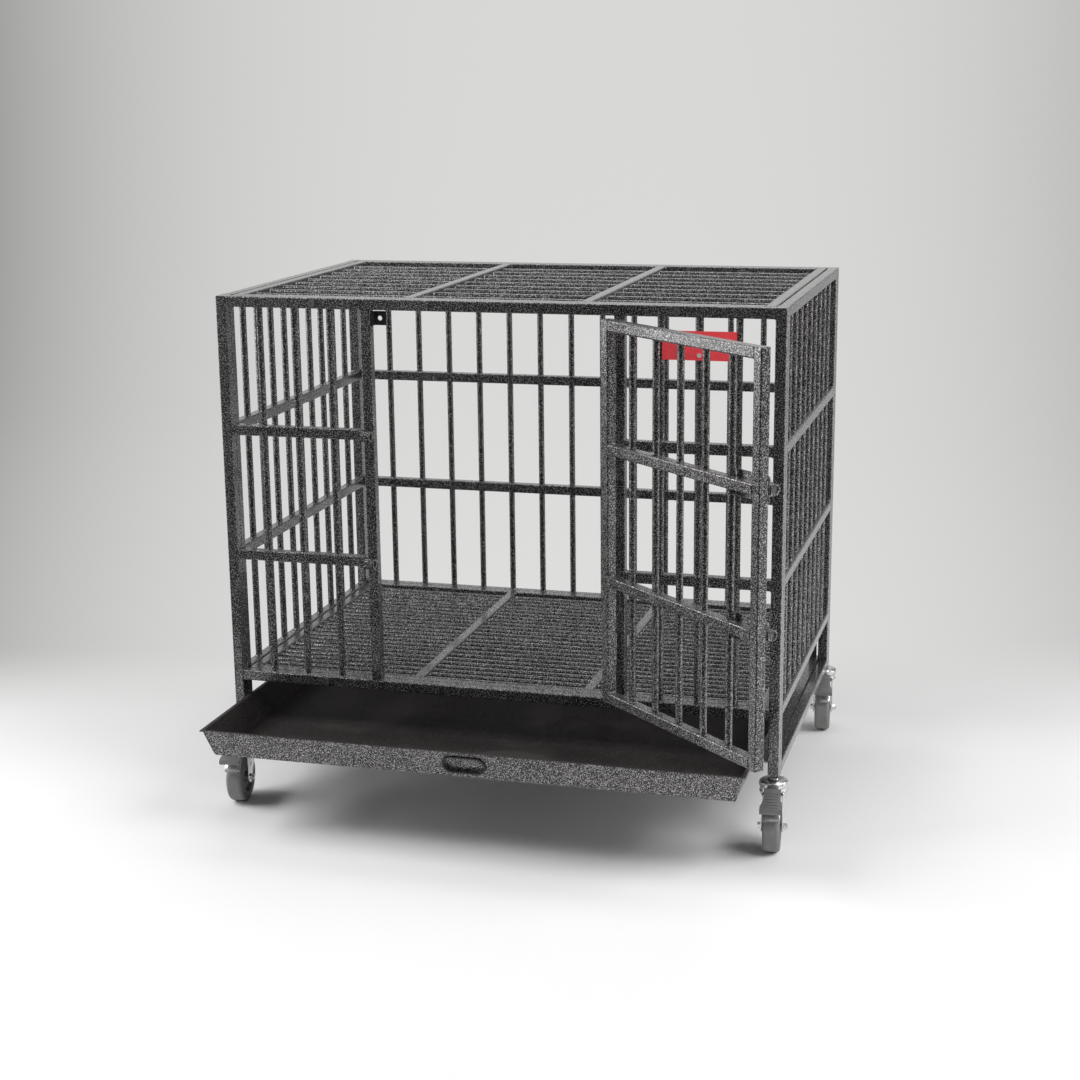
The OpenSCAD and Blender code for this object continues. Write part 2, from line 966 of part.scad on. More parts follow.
// Fork with its lower race, swivel axis at the origin
module fork() {
    color(chrome_c)
        difference() {
            union() {
                for (x = [leg_x, -fork_w])
                    translate([x, 0, 0])
                        rotate([90, 0, 90])
                            linear_extrude(fork_t)
                                leg_outline();
                translate([0, 0, crown_z])
                    cylinder(r = crown_r, h = crown_t);
                translate([-fork_w, -crown_front, crown_z])
                    cube([2 * fork_w, crown_front + crown_back, crown_t]);
                translate([0, 0, ring_z])
                    cylinder(r = ring_r, h = ring_h);
            }
            translate([0, 0, crown_z - cut])
                cylinder(r = king_r + run_gap, h = crown_t + ring_h + 2 * cut);
            rod_x(-fork_w - cut, fork_w + cut, -trail, wheel_r, axle_d / 2 + run_gap);
            rod_x(-fork_w - cut, fork_w + cut, ear_y, ear_z, pivot_r + run_gap);
        }
}

// Axle bolt with its head and nut
module axle() {
    color(chrome_c)
        translate([0, -trail, wheel_r])
            rotate([0, 90, 0]) {
                translate([0, 0, -fork_w - nut_h])
                    cylinder(d = axle_d, h = 2 * (fork_w + nut_h) + axle_end);
                for (z = [-fork_w - nut_h, fork_w])
                    translate([0, 0, z])
                        cylinder(d = nut_d, h = nut_h, $fn = 6);
            }
}

// Wheel hub with its bore and dished faces
module hub() {
    rim_t = 5;
    rim_in = hub_r - rim_t;
    boss = axle_d;
    dish = 6;
    draft = 2;
    color(grey_c)
        translate([0, -trail, wheel_r])
            rotate([0, 90, 0])
                rotate_extrude()
                    polygon([
                        [axle_d / 2 + run_gap, -hub_w / 2], [boss, -hub_w / 2],
                        [boss + draft, -tread_w / 2 + dish], [rim_in - draft, -tread_w / 2 + dish],
                        [rim_in, -tread_w / 2], [hub_r, -tread_w / 2],
                        [hub_r, tread_w / 2], [rim_in, tread_w / 2],
                        [rim_in - draft, tread_w / 2 - dish], [boss + draft, tread_w / 2 - dish],
                        [boss, hub_w / 2], [axle_d / 2 + run_gap, hub_w / 2]
                    ]);
}

// Tyre with round shoulders
module tyre() {
    in_r = hub_r + bond_gap;
    flat = tread_w - 2 * shoulder_r;
    color(rubber_c)
        translate([0, -trail, wheel_r])
            rotate([0, 90, 0])
                rotate_extrude() {
                    translate([in_r, -tread_w / 2])
                        square([wheel_r - shoulder_r - in_r, tread_w]);
                    translate([in_r, -flat / 2])
                        square([wheel_r - in_r, flat]);
                    for (s = [-1, 1])
                        translate([wheel_r - shoulder_r, s * flat / 2])
                            circle(r = shoulder_r);
                }
}

// Brake pedal with its flared lip, shoe and pivot stubs
module pedal() {
    back = ear_y + ear_r;
    front = ear_y - pedal_l;
    nose = front - pedal_nose;
    top = ear_z + pedal_t;
    low = ear_z - pedal_drop;
    waist_y = ear_y - flare_from * pedal_l;
    lip_y = ear_y - flare_to * pedal_l;
    color(grey_c) {
        intersection() {
            translate([-lip_x, 0, 0])
                rotate([90, 0, 90])
                    linear_extrude(2 * lip_x)
                        polygon([
                            [back, ear_z - ear_r], [ear_y, ear_z - ear_r], [front, low],
                            [nose, low + pedal_t / 2],
                            [front, top - pedal_drop], [ear_y, top], [back, top - pedal_t / 2]
                        ]);
            translate([0, 0, low - cut])
                linear_extrude(top - low + 2 * cut)
                    polygon([
                        [-pedal_x, back + cut], [-pedal_x, waist_y], [-lip_x, lip_y], [-lip_x, nose - cut],
                        [lip_x, nose - cut], [lip_x, lip_y], [pedal_x, waist_y], [pedal_x, back + cut]
                    ]);
        }
        translate([-shoe_x, shoe_y, wheel_d])
            cube([2 * shoe_x, shoe_l, ear_z - wheel_d]);
        rod_x(-fork_w, fork_w, ear_y, ear_z, pivot_r);
    }
}

// Places one caster's pieces under the corner with the signs sx and sy
module at_caster(sx, sy) {
    translate([sx * wheel_cx, sy * wheel_cy, 0])
        rotate([0, 0, caster_turn])
            children();
}

module fork_front_left() {
    at_caster(-1, -1)
        fork();
}

module axle_front_left() {
    at_caster(-1, -1)
        axle();
}

module hub_front_left() {
    at_caster(-1, -1)
        hub();
}

module tyre_front_left() {
    at_caster(-1, -1)
        tyre();
}

module pedal_front_left() {
    at_caster(-1, -1)
        pedal();
}

module fork_front_right() {
    at_caster(1, -1)
        fork();
}

module axle_front_right() {
    at_caster(1, -1)
        axle();
}

module hub_front_right() {
    at_caster(1, -1)
        hub();
}

module tyre_front_right() {
    at_caster(1, -1)
        tyre();
}

module pedal_front_right() {
    at_caster(1, -1)
        pedal();
}

module fork_back_left() {
    at_caster(-1, 1)
        fork();
}

module axle_back_left() {
    at_caster(-1, 1)
        axle();
}

module hub_back_left() {
    at_caster(-1, 1)
        hub();
}

module tyre_back_left() {
    at_caster(-1, 1)
        tyre();
}

module pedal_back_left() {
    at_caster(-1, 1)
        pedal();
}

module fork_back_right() {
    at_caster(1, 1)
        fork();
}

module axle_back_right() {
    at_caster(1, 1)
        axle();
}

module hub_back_right() {
    at_caster(1, 1)
        hub();
}

module tyre_back_right() {
    at_caster(1, 1)
        tyre();
}

module pedal_back_right() {
    at_caster(1, 1)
        pedal();
}

front_posts();
front_rails();
front_bars();
back_posts();
back_rails();
back_bars();
left_posts();
left_rails();
left_bars();
right_posts();
right_rails();
right_bars();
top_cross_rails();
top_long_rails();
top_bars();
floor_cross_rails();
floor_long_rails();
floor_bars();
panel_bolts();
panel_nuts();
red_plate();
plate_rivets();
stop_bracket();
hinge_frame_leaves();
hinge_pins();
latch_keepers();
tray_runners();
tray_stops();
caster_stems();
door_stiles();
door_rails();
door_bars();
hinge_door_leaves();
latch_plates();
latch_guides();
latch_bolt_upper();
latch_bolt_lower();
tray();
tray_pull_edging();
fork_front_left();
axle_front_left();
hub_front_left();
tyre_front_left();
pedal_front_left();
fork_front_right();
axle_front_right();
hub_front_right();
tyre_front_right();
pedal_front_right();
fork_back_left();
axle_back_left();
hub_back_left();
tyre_back_left();
pedal_back_left();
fork_back_right();
axle_back_right();
hub_back_right();
tyre_back_right();
pedal_back_right();
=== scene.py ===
"""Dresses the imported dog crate: its finishes, weld beads, caster and tray fittings, studio and camera.

Sizes are in millimetres, as on a drawing, unless a docstring says metres. MM turns them into metres.
"""

from __future__ import annotations

import json
import logging
import math
from contextlib import contextmanager
from dataclasses import dataclass, field
from enum import Enum
from typing import Any, Iterator, Optional, Sequence, Union

import bmesh
import bpy
from mathutils import Matrix, Vector

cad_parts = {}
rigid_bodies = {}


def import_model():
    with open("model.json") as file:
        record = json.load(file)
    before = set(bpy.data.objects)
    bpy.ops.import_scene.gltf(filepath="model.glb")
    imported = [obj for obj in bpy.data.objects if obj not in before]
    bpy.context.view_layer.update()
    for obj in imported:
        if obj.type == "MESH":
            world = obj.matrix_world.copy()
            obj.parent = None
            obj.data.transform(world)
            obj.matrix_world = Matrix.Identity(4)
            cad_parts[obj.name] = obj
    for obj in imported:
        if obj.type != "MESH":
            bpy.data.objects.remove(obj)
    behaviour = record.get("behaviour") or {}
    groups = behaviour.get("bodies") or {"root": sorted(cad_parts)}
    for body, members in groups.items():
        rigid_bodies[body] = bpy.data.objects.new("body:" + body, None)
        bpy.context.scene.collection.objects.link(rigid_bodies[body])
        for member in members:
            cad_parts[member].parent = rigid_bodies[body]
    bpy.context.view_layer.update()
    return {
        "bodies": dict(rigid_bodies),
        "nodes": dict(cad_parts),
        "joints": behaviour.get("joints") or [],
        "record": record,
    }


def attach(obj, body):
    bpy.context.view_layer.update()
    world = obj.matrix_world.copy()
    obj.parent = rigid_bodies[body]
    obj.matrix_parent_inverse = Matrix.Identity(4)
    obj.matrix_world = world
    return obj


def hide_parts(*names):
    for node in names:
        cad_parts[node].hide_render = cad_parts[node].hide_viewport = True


LOG = logging.getLogger("dog_crate")
MM = 0.001
Colour = tuple[float, float, float]
Place = tuple[float, float, float]
Span = tuple[float, float]


class Slot(Enum):
    """The record's material slots."""

    HAMMERTONE = "hammertone_coat"
    TRAY = "tray_coat"
    BLACK = "black_coat"
    RED = "red_coat"
    ZINC = "zinc"
    DARK_ZINC = "dark_zinc"
    TYRE = "wheel_rubber"
    WHEEL_PLASTIC = "wheel_plastic"
    PEDAL_PLASTIC = "pedal_plastic"
    BLACK_RUBBER = "black_rubber"


class Body(Enum):
    """The bodies that pieces other than the casters' ride on."""

    FRAME = "frame"
    DOOR = "door"
    TRAY = "tray"


class Axis(Enum):
    """A main direction of the crate's frame."""

    X = 0
    Y = 1
    Z = 2

    def vector(self) -> Vector:
        """The unit vector of this direction."""
        return Vector([1.0 if i == self.value else 0.0 for i in range(3)])

    def turn(self, sign: float = 1.0) -> Matrix:
        """The turn that takes +Z to this direction, or against it."""
        return Vector((0, 0, 1)).rotation_difference(self.vector() * sign).to_matrix().to_4x4()


class Tone:
    """A socket of a material's nodes, whose operators add Math nodes."""

    def __init__(self, bench: "ShaderBench", socket: bpy.types.NodeSocket) -> None:
        """Wraps one output socket of the bench's tree."""
        self.bench = bench
        self.socket = socket

    def __add__(self, other: "Value") -> "Tone":
        """The sum."""
        return self.bench.maths("ADD", self, other)

    def __sub__(self, other: "Value") -> "Tone":
        """The difference."""
        return self.bench.maths("SUBTRACT", self, other)

    def __rsub__(self, other: "Value") -> "Tone":
        """The difference from a number."""
        return self.bench.maths("SUBTRACT", other, self)

    def __mul__(self, other: "Value") -> "Tone":
        """The product."""
        return self.bench.maths("MULTIPLY", self, other)

    def __truediv__(self, other: "Value") -> "Tone":
        """The quotient."""
        return self.bench.maths("DIVIDE", self, other)

    def __pow__(self, other: "Value") -> "Tone":
        """The power."""
        return self.bench.maths("POWER", self, other)

    def __abs__(self) -> "Tone":
        """The size without its sign."""
        return self.bench.maths("ABSOLUTE", self)

    __radd__ = __add__

    def smooth(self, low: float, high: float) -> "Tone":
        """Rises softly from 0 at low to 1 at high."""
        return self.bench.node(
            "ShaderNodeMapRange",
            {"interpolation_type": "SMOOTHSTEP"},
            {"Value": self, "From Min": low, "From Max": high},
        )


Value = Union[Tone, float]


@dataclass
class Layers:
    """What a finish feeds to its shader.

    A number or colour is set on the shader's socket, and a Tone is linked to it.
    """

    colour: Union[Tone, Colour]
    roughness: Value
    metallic: Value = 0.0
    height: Optional[Tone] = None
    depth: float = 0.1
    coat: Value = 0.0
    coat_rough: float = 0.03
    specular: float = 0.5


@dataclass(frozen=True)
class Grain:
    """Soft noise: the size of its spots, its finer octaves, its warp and the levels it is cut at."""

    period: float
    detail: float = 2.0
    warp: float = 0.0
    cut: Optional[Span] = None


class ShaderBench:
    """The nodes of one material, or of the world."""

    # The Mix node has a set of sockets for each kind of value.
    FIRST_COLOUR, SECOND_COLOUR, MIXED_COLOUR = 6, 7, 2
    FIRST_NUMBER, SECOND_NUMBER, MIXED_NUMBER = 2, 3, 0

    def __init__(self, owner: Union[bpy.types.Material, bpy.types.World]) -> None:
        """Empties the nodes of a new material or world.

        Args:
            owner: What the nodes belong to.
        """
        self.owner = owner
        owner.use_nodes = True
        self.tree = owner.node_tree
        self.tree.nodes.clear()

    @classmethod
    def named(cls, name: str) -> "ShaderBench":
        """Starts a new material."""
        return cls(bpy.data.materials.new(name))

    def node(
        self,
        kind: str,
        settings: dict[str, Any],
        sockets: dict[Union[str, int], Any],
        output: Union[str, int] = 0,
    ) -> Tone:
        """Adds one node.

        Args:
            kind: The node's type.
            settings: Its properties, set first.
            sockets: The values or links of its inputs, by name or number.
            output: The output that is returned.

        Returns:
            The output's Tone.
        """
        made = self.tree.nodes.new(kind)
        for key, value in settings.items():
            setattr(made, key, value)
        for key, value in sockets.items():
            if isinstance(value, Tone):
                self.tree.links.new(value.socket, made.inputs[key])
            else:
                made.inputs[key].default_value = value
        return Tone(self, made.outputs[output])

    def maths(self, operation: str, *values: Value) -> Tone:
        """Adds a Math node with these inputs."""
        return self.node("ShaderNodeMath", {"operation": operation}, dict(enumerate(values)))

    def point(self) -> Tone:
        """The place on the piece, in metres."""
        return self.node("ShaderNodeTexCoord", {}, {}, "Object")

    def facing(self) -> Tone:
        """The direction that the piece's surface faces."""
        return self.node("ShaderNodeTexCoord", {}, {}, "Normal")

    def part(self, vector: Tone, axis: Axis) -> Tone:
        """One number of a vector."""
        return self.node("ShaderNodeSeparateXYZ", {}, {0: vector}, axis.value)

    def stretch(self, vector: Tone, factors: Place) -> Tone:
        """A vector with each number multiplied by its factor."""
        return self.node("ShaderNodeVectorMath", {"operation": "MULTIPLY"}, {0: vector, 1: factors})

    def grain(self, point: Tone, grain: Grain) -> Tone:
        """Soft noise.

        Args:
            point: Where it is read.
            grain: Its pattern.

        Returns:
            The noise: around 0.5, or from 0 to 1 where the pattern is cut.
        """
        sockets = {"Vector": point, "Scale": 1 / (grain.period * MM)}
        sockets |= {"Detail": grain.detail, "Distortion": grain.warp}
        noise = self.node("ShaderNodeTexNoise", {"noise_dimensions": "3D"}, sockets)
        return noise if grain.cut is None else noise.smooth(*grain.cut)

    def cells(self, point: Tone, size: float) -> Tone:
        """The distance from the middle of the nearest random cell of about this size, in cells."""
        return self.node("ShaderNodeTexVoronoi", {}, {"Vector": point, "Scale": 1 / (size * MM)})

    def mix(self, factor: Value, first: Union[Tone, Colour], second: Union[Tone, Colour]) -> Tone:
        """A colour between two colours.

        Args:
            factor: How much of the second.
            first: The colour at 0.
            second: The colour at 1.

        Returns:
            The mixed colour.
        """
        ends = [c if isinstance(c, Tone) else (*c, 1.0) for c in (first, second)]
        sockets = {0: factor, self.FIRST_COLOUR: ends[0], self.SECOND_COLOUR: ends[1]}
        return self.node("ShaderNodeMix", {"data_type": "RGBA"}, sockets, self.MIXED_COLOUR)

    def between(self, factor: Tone, first: Value, second: Value) -> Tone:
        """A number between two numbers."""
        sockets = {0: factor, self.FIRST_NUMBER: first, self.SECOND_NUMBER: second}
        return self.node("ShaderNodeMix", {"data_type": "FLOAT"}, sockets, self.MIXED_NUMBER)

    def seen(self) -> Tone:
        """1 for the rays that show the backdrop: the camera's, mirrored and refracted ones."""
        kinds = ("Is Camera Ray", "Is Glossy Ray", "Is Transmission Ray")
        camera, glossy, through = (self.node("ShaderNodeLightPath", {}, {}, kind) for kind in kinds)
        return self.maths("MAXIMUM", self.maths("MAXIMUM", camera, glossy), through)

    def shader(self, layers: Layers) -> Tone:
        """Adds the main shader.

        Args:
            layers: What the finish feeds to the shader.

        Returns:
            The shader's output.
        """
        colour = layers.colour if isinstance(layers.colour, Tone) else (*layers.colour, 1.0)
        sockets: dict[Union[str, int], Any] = {
            "Base Color": colour,
            "Roughness": layers.roughness,
            "Metallic": layers.metallic,
            "Coat Weight": layers.coat,
            "Coat Roughness": layers.coat_rough,
            "Specular IOR Level": layers.specular,
        }
        if layers.height is not None:
            bump = {"Strength": 1.0, "Distance": layers.depth * MM, "Height": layers.height}
            sockets["Normal"] = self.node("ShaderNodeBump", {}, bump)
        return self.node("ShaderNodeBsdfPrincipled", {}, sockets)

    def close(self, shader: Tone) -> Any:
        """Links a shader to the output.

        Args:
            shader: The shader.

        Returns:
            The finished material or world.
        """
        kind = "World" if isinstance(self.owner, bpy.types.World) else "Material"
        made = self.tree.nodes.new("ShaderNodeOutput" + kind)
        self.tree.links.new(shader.socket, made.inputs["Surface"])
        return self.owner


class Finish:
    """A finish that makes one material."""

    name: str

    def layers(self, bench: ShaderBench) -> Layers:
        """What the finish feeds to its shader."""
        raise NotImplementedError

    def material(self) -> bpy.types.Material:
        """Makes the material."""
        bench = ShaderBench.named(self.name)
        return bench.close(bench.shader(self.layers(bench)))


@dataclass(frozen=True)
class HammertoneCoat(Finish):
    """Hammertone coat: bright silver veins that wander over a charcoal ground, under a clear gloss."""

    name: str = "hammertone_coat"
    cell: float = 2.1
    ground: Colour = (0.004, 0.004, 0.0042)
    silver: Colour = (0.36, 0.346, 0.352)
    metal: float = 0.9
    edge: Span = (0.57, 0.67)
    drift: Grain = Grain(55.0)
    drift_share: float = 0.10
    glint_size: float = 1.3
    glint_range: Span = (0.72, 1.25)
    rough: float = 0.48
    vein_polish: float = 0.05
    depth: float = 0.10
    gloss: float = 0.9
    gloss_rough: float = 0.15
    specular: float = 0.2

    def layers(self, bench: ShaderBench) -> Layers:
        """Veins between cells of dark coat, thicker and thinner over a hand's breadth.

        Args:
            bench: The material's nodes.

        Returns:
            The shader's inputs.
        """
        point = bench.point()
        drift = (bench.grain(point, self.drift) - 0.5) * self.drift_share
        vein = bench.cells(point, self.cell) + drift
        mask = vein.smooth(*self.edge)
        glint = bench.grain(point, Grain(self.cell * self.glint_size, 1.0))
        dull, bright = (tuple(share * c for c in self.silver) for share in self.glint_range)
        return Layers(
            colour=bench.mix(mask, self.ground, bench.mix(glint, dull, bright)),
            roughness=self.rough - mask * self.vein_polish + drift,
            metallic=mask * self.metal,
            height=vein,
            depth=self.depth,
            coat=self.gloss,
            coat_rough=self.gloss_rough,
            specular=self.specular,
        )


@dataclass(frozen=True)
class TraySheet(Finish):
    """The tray's sheet: hammertone outside, darker hammertone with faint dust inside and on the rim."""

    name: str = "tray_coat"
    outside: HammertoneCoat = HammertoneCoat(
        cell=1.8, ground=(0.006, 0.006, 0.0062), silver=(0.42, 0.403, 0.41)
    )
    inside: Colour = (0.010, 0.0088, 0.0086)
    inside_vein: Colour = (0.062, 0.055, 0.053)
    dust: Colour = (0.062, 0.056, 0.054)
    fine: Grain = Grain(3.0, 3.0)
    fine_relief: float = 0.25
    patch: Grain = Grain(160.0, 4.0, 0.6, (0.50, 0.72))
    patch_dust: Span = (0.30, 0.5)
    speck: Grain = Grain(9.0, 4.0, 0.0, (0.63, 0.70))
    speck_dust: float = 0.25
    rough: Span = (0.52, 0.3)
    gloss_share: float = 0.5
    specular: float = 0.3
    fold: Span = (0.04, 0.16)
    pull_middle: float = 183.7
    pull_half: Span = (39.0, 15.5)
    wall_slant: float = 16.0 / 53.0
    cup_back: float = -501.1

    def in_pull(self, bench: ShaderBench, point: Tone) -> Tone:
        """1 in the pull's cup, which has the outside coat on all its faces.

        Args:
            bench: The material's nodes.
            point: The place on the sheet.

        Returns:
            The mask, measured across the pull and square to the slanting wall.
        """
        across, inwards, up = (bench.part(point, axis) for axis in Axis)
        wide, high = (half * MM for half in self.pull_half)
        within = bench.maths("LESS_THAN", abs(across), wide)
        within = within * bench.maths("LESS_THAN", abs(up - self.pull_middle * MM), high)
        return within * bench.maths("LESS_THAN", inwards + up * self.wall_slant, self.cup_back * MM)

    def layers(self, bench: ShaderBench) -> Layers:
        """Chooses the coat by which way the sheet faces.

        Args:
            bench: The material's nodes.

        Returns:
            The shader's inputs.
        """
        outer = self.outside.layers(bench)
        assert outer.height is not None
        point = bench.point()
        fine = bench.grain(point, self.fine)
        patch = bench.grain(point, self.patch) * (self.patch_dust[0] + fine * self.patch_dust[1])
        dusty = patch + bench.grain(point, self.speck) * self.speck_dust
        veined = bench.mix(outer.metallic, self.inside, self.inside_vein)
        upward = bench.part(bench.facing(), Axis.Z).smooth(*self.fold)
        upward = upward * (1.0 - self.in_pull(bench, point))
        return Layers(
            colour=bench.mix(upward, outer.colour, bench.mix(dusty, veined, self.dust)),
            roughness=bench.between(upward, outer.roughness, self.rough[0] + dusty * self.rough[1]),
            metallic=bench.between(upward, outer.metallic, 0.0),
            height=bench.between(upward, outer.height, fine * self.fine_relief),
            depth=outer.depth,
            coat=bench.between(upward, self.outside.gloss * self.gloss_share, 0.0),
            coat_rough=outer.coat_rough,
            specular=self.specular,
        )


@dataclass(frozen=True)
class PatchedCoat(Finish):
    """A coat whose colour and gloss change in soft patches, over a fine relief."""

    name: str
    main: Colour
    other: Colour
    patch: Grain
    relief: Grain
    rough: Span
    depth: float
    gloss: float = 0.0

    def layers(self, bench: ShaderBench) -> Layers:
        """Patches in colour and roughness, and the relief.

        Args:
            bench: The material's nodes.

        Returns:
            The shader's inputs.
        """
        point = bench.point()
        patch = bench.grain(point, self.patch)
        return Layers(
            colour=bench.mix(patch, self.main, self.other),
            roughness=self.rough[0] + patch * self.rough[1],
            height=bench.grain(point, self.relief),
            depth=self.depth,
            coat=self.gloss,
        )


@dataclass(frozen=True)
class SatinBlack(PatchedCoat):
    """Satin black paint with a fine orange peel, a little paler where it is rubbed."""

    name: str = "black_coat"
    main: Colour = (0.012, 0.012, 0.013)
    other: Colour = (0.035, 0.035, 0.036)
    patch: Grain = Grain(14.0, 4.0, 0.0, (0.45, 0.75))
    relief: Grain = Grain(1.6, 1.0)
    rough: Span = (0.34, 0.16)
    depth: float = 0.05


@dataclass(frozen=True)
class GlossRed(PatchedCoat):
    """Gloss red paint with a faint orange peel and a little handling haze, under a clear gloss."""

    name: str = "red_coat"
    main: Colour = (0.95, 0.075, 0.09)
    other: Colour = (0.84, 0.055, 0.07)
    patch: Grain = Grain(24.0, 4.0, 0.4, (0.40, 0.72))
    relief: Grain = Grain(1.3, 1.0)
    rough: Span = (0.22, 0.14)
    depth: float = 0.03
    gloss: float = 0.35


@dataclass(frozen=True)
class SoftRubber(PatchedCoat):
    """Matt black rubber edging with a pale bloom."""

    name: str = "black_rubber"
    main: Colour = (0.010, 0.010, 0.010)
    other: Colour = (0.030, 0.030, 0.031)
    patch: Grain = Grain(8.0, 4.0)
    relief: Grain = Grain(0.7)
    rough: Span = (0.50, 0.2)
    depth: float = 0.04


@dataclass(frozen=True)
class Plating(Finish):
    """Plated steel with fine polishing lines and a little staining."""

    name: str
    metal: Colour
    stain: Colour
    gloss: float
    run: Place = (0.25, 1.0, 1.0)
    line: Grain = Grain(0.8)
    spot: Grain = Grain(11.0, 4.0, 0.3, (0.48, 0.74))
    dulling: Span = (0.10, 0.14)
    depth: float = 0.012

    def layers(self, bench: ShaderBench) -> Layers:
        """Polishing lines in the gloss, and stains in colour and gloss.

        Args:
            bench: The material's nodes.

        Returns:
            The shader's inputs.
        """
        point = bench.point()
        line = bench.grain(bench.stretch(point, self.run), self.line)
        spot = bench.grain(point, self.spot)
        return Layers(
            colour=bench.mix(spot, self.metal, self.stain),
            roughness=self.gloss + line * self.dulling[0] + spot * self.dulling[1],
            metallic=1.0,
            height=line,
            depth=self.depth,
        )


@dataclass(frozen=True)
class MouldedPlastic(Finish):
    """Moulded plastic with a fine grain, scuffs and slightly uneven grey."""

    name: str
    grey: Colour
    pale: Colour
    rough: float = 0.48
    grain: Grain = Grain(0.9)
    broad: Grain = Grain(17.0, 3.0)
    scuff: Grain = Grain(2.4, 3.0, 0.0, (0.62, 0.74))
    scuff_run: Place = (1.0, 0.3, 1.0)
    paling: Span = (0.7, 0.5)
    dulling: Span = (0.10, 0.12)
    depth: float = 0.05

    def layers(self, bench: ShaderBench) -> Layers:
        """Grain in relief, and broad unevenness and scuffs in the grey.

        Args:
            bench: The material's nodes.

        Returns:
            The shader's inputs.
        """
        point = bench.point()
        grain = bench.grain(point, self.grain)
        scuff = bench.grain(bench.stretch(point, self.scuff_run), self.scuff)
        pale = bench.grain(point, self.broad) * self.paling[0] + scuff * self.paling[1]
        return Layers(
            colour=bench.mix(pale, self.grey, self.pale),
            roughness=self.rough + grain * self.dulling[0] + scuff * self.dulling[1],
            height=grain,
            depth=self.depth,
        )


@dataclass(frozen=True)
class WheelRubber(Finish):
    """Grey wheel rubber, dusty on the tread and smooth with faint mould rings on the sides.

    The axle's place and the radii of the tread are in metres.
    """

    name: str
    axle: Place
    turn: float
    grey: Colour = (0.15, 0.15, 0.15)
    dust: Colour = (0.27, 0.268, 0.262)
    tread: Span = (0.0432, 0.0474)
    tread_dust: Span = (0.35, 0.6)
    spots: Grain = Grain(7.0, 4.0, 0.4)
    clump: Span = (0.55, 0.80)
    clump_dust: float = 0.2
    grain: Grain = Grain(0.8)
    grain_relief: float = 0.5
    ring_pitch: float = 2.2
    ring_relief: float = 0.10
    rough: Span = (0.58, 0.22)
    depth: float = 0.12

    def layers(self, bench: ShaderBench) -> Layers:
        """Dust and rings by the distance from the axle.

        Args:
            bench: The material's nodes.

        Returns:
            The shader's inputs.
        """
        point = bench.point()
        aside = (bench.part(point, Axis.X) - self.axle[0]) * math.sin(self.turn)
        across = (bench.part(point, Axis.Y) - self.axle[1]) * math.cos(self.turn) - aside
        above = bench.part(point, Axis.Z) - self.axle[2]
        radius = (across * across + above * above) ** 0.5
        worn = radius.smooth(*self.tread)
        spots = bench.grain(point, self.spots)
        clumps = spots.smooth(*self.clump) * self.clump_dust
        dusty = worn * (self.tread_dust[0] + spots * self.tread_dust[1]) + clumps
        rings = bench.maths("SINE", radius * (2 * math.pi / (self.ring_pitch * MM))) * self.ring_relief
        return Layers(
            colour=bench.mix(dusty, self.grey, self.dust),
            roughness=self.rough[0] + dusty * self.rough[1],
            height=bench.grain(point, self.grain) * self.grain_relief + rings * (1.0 - worn),
            depth=self.depth,
        )


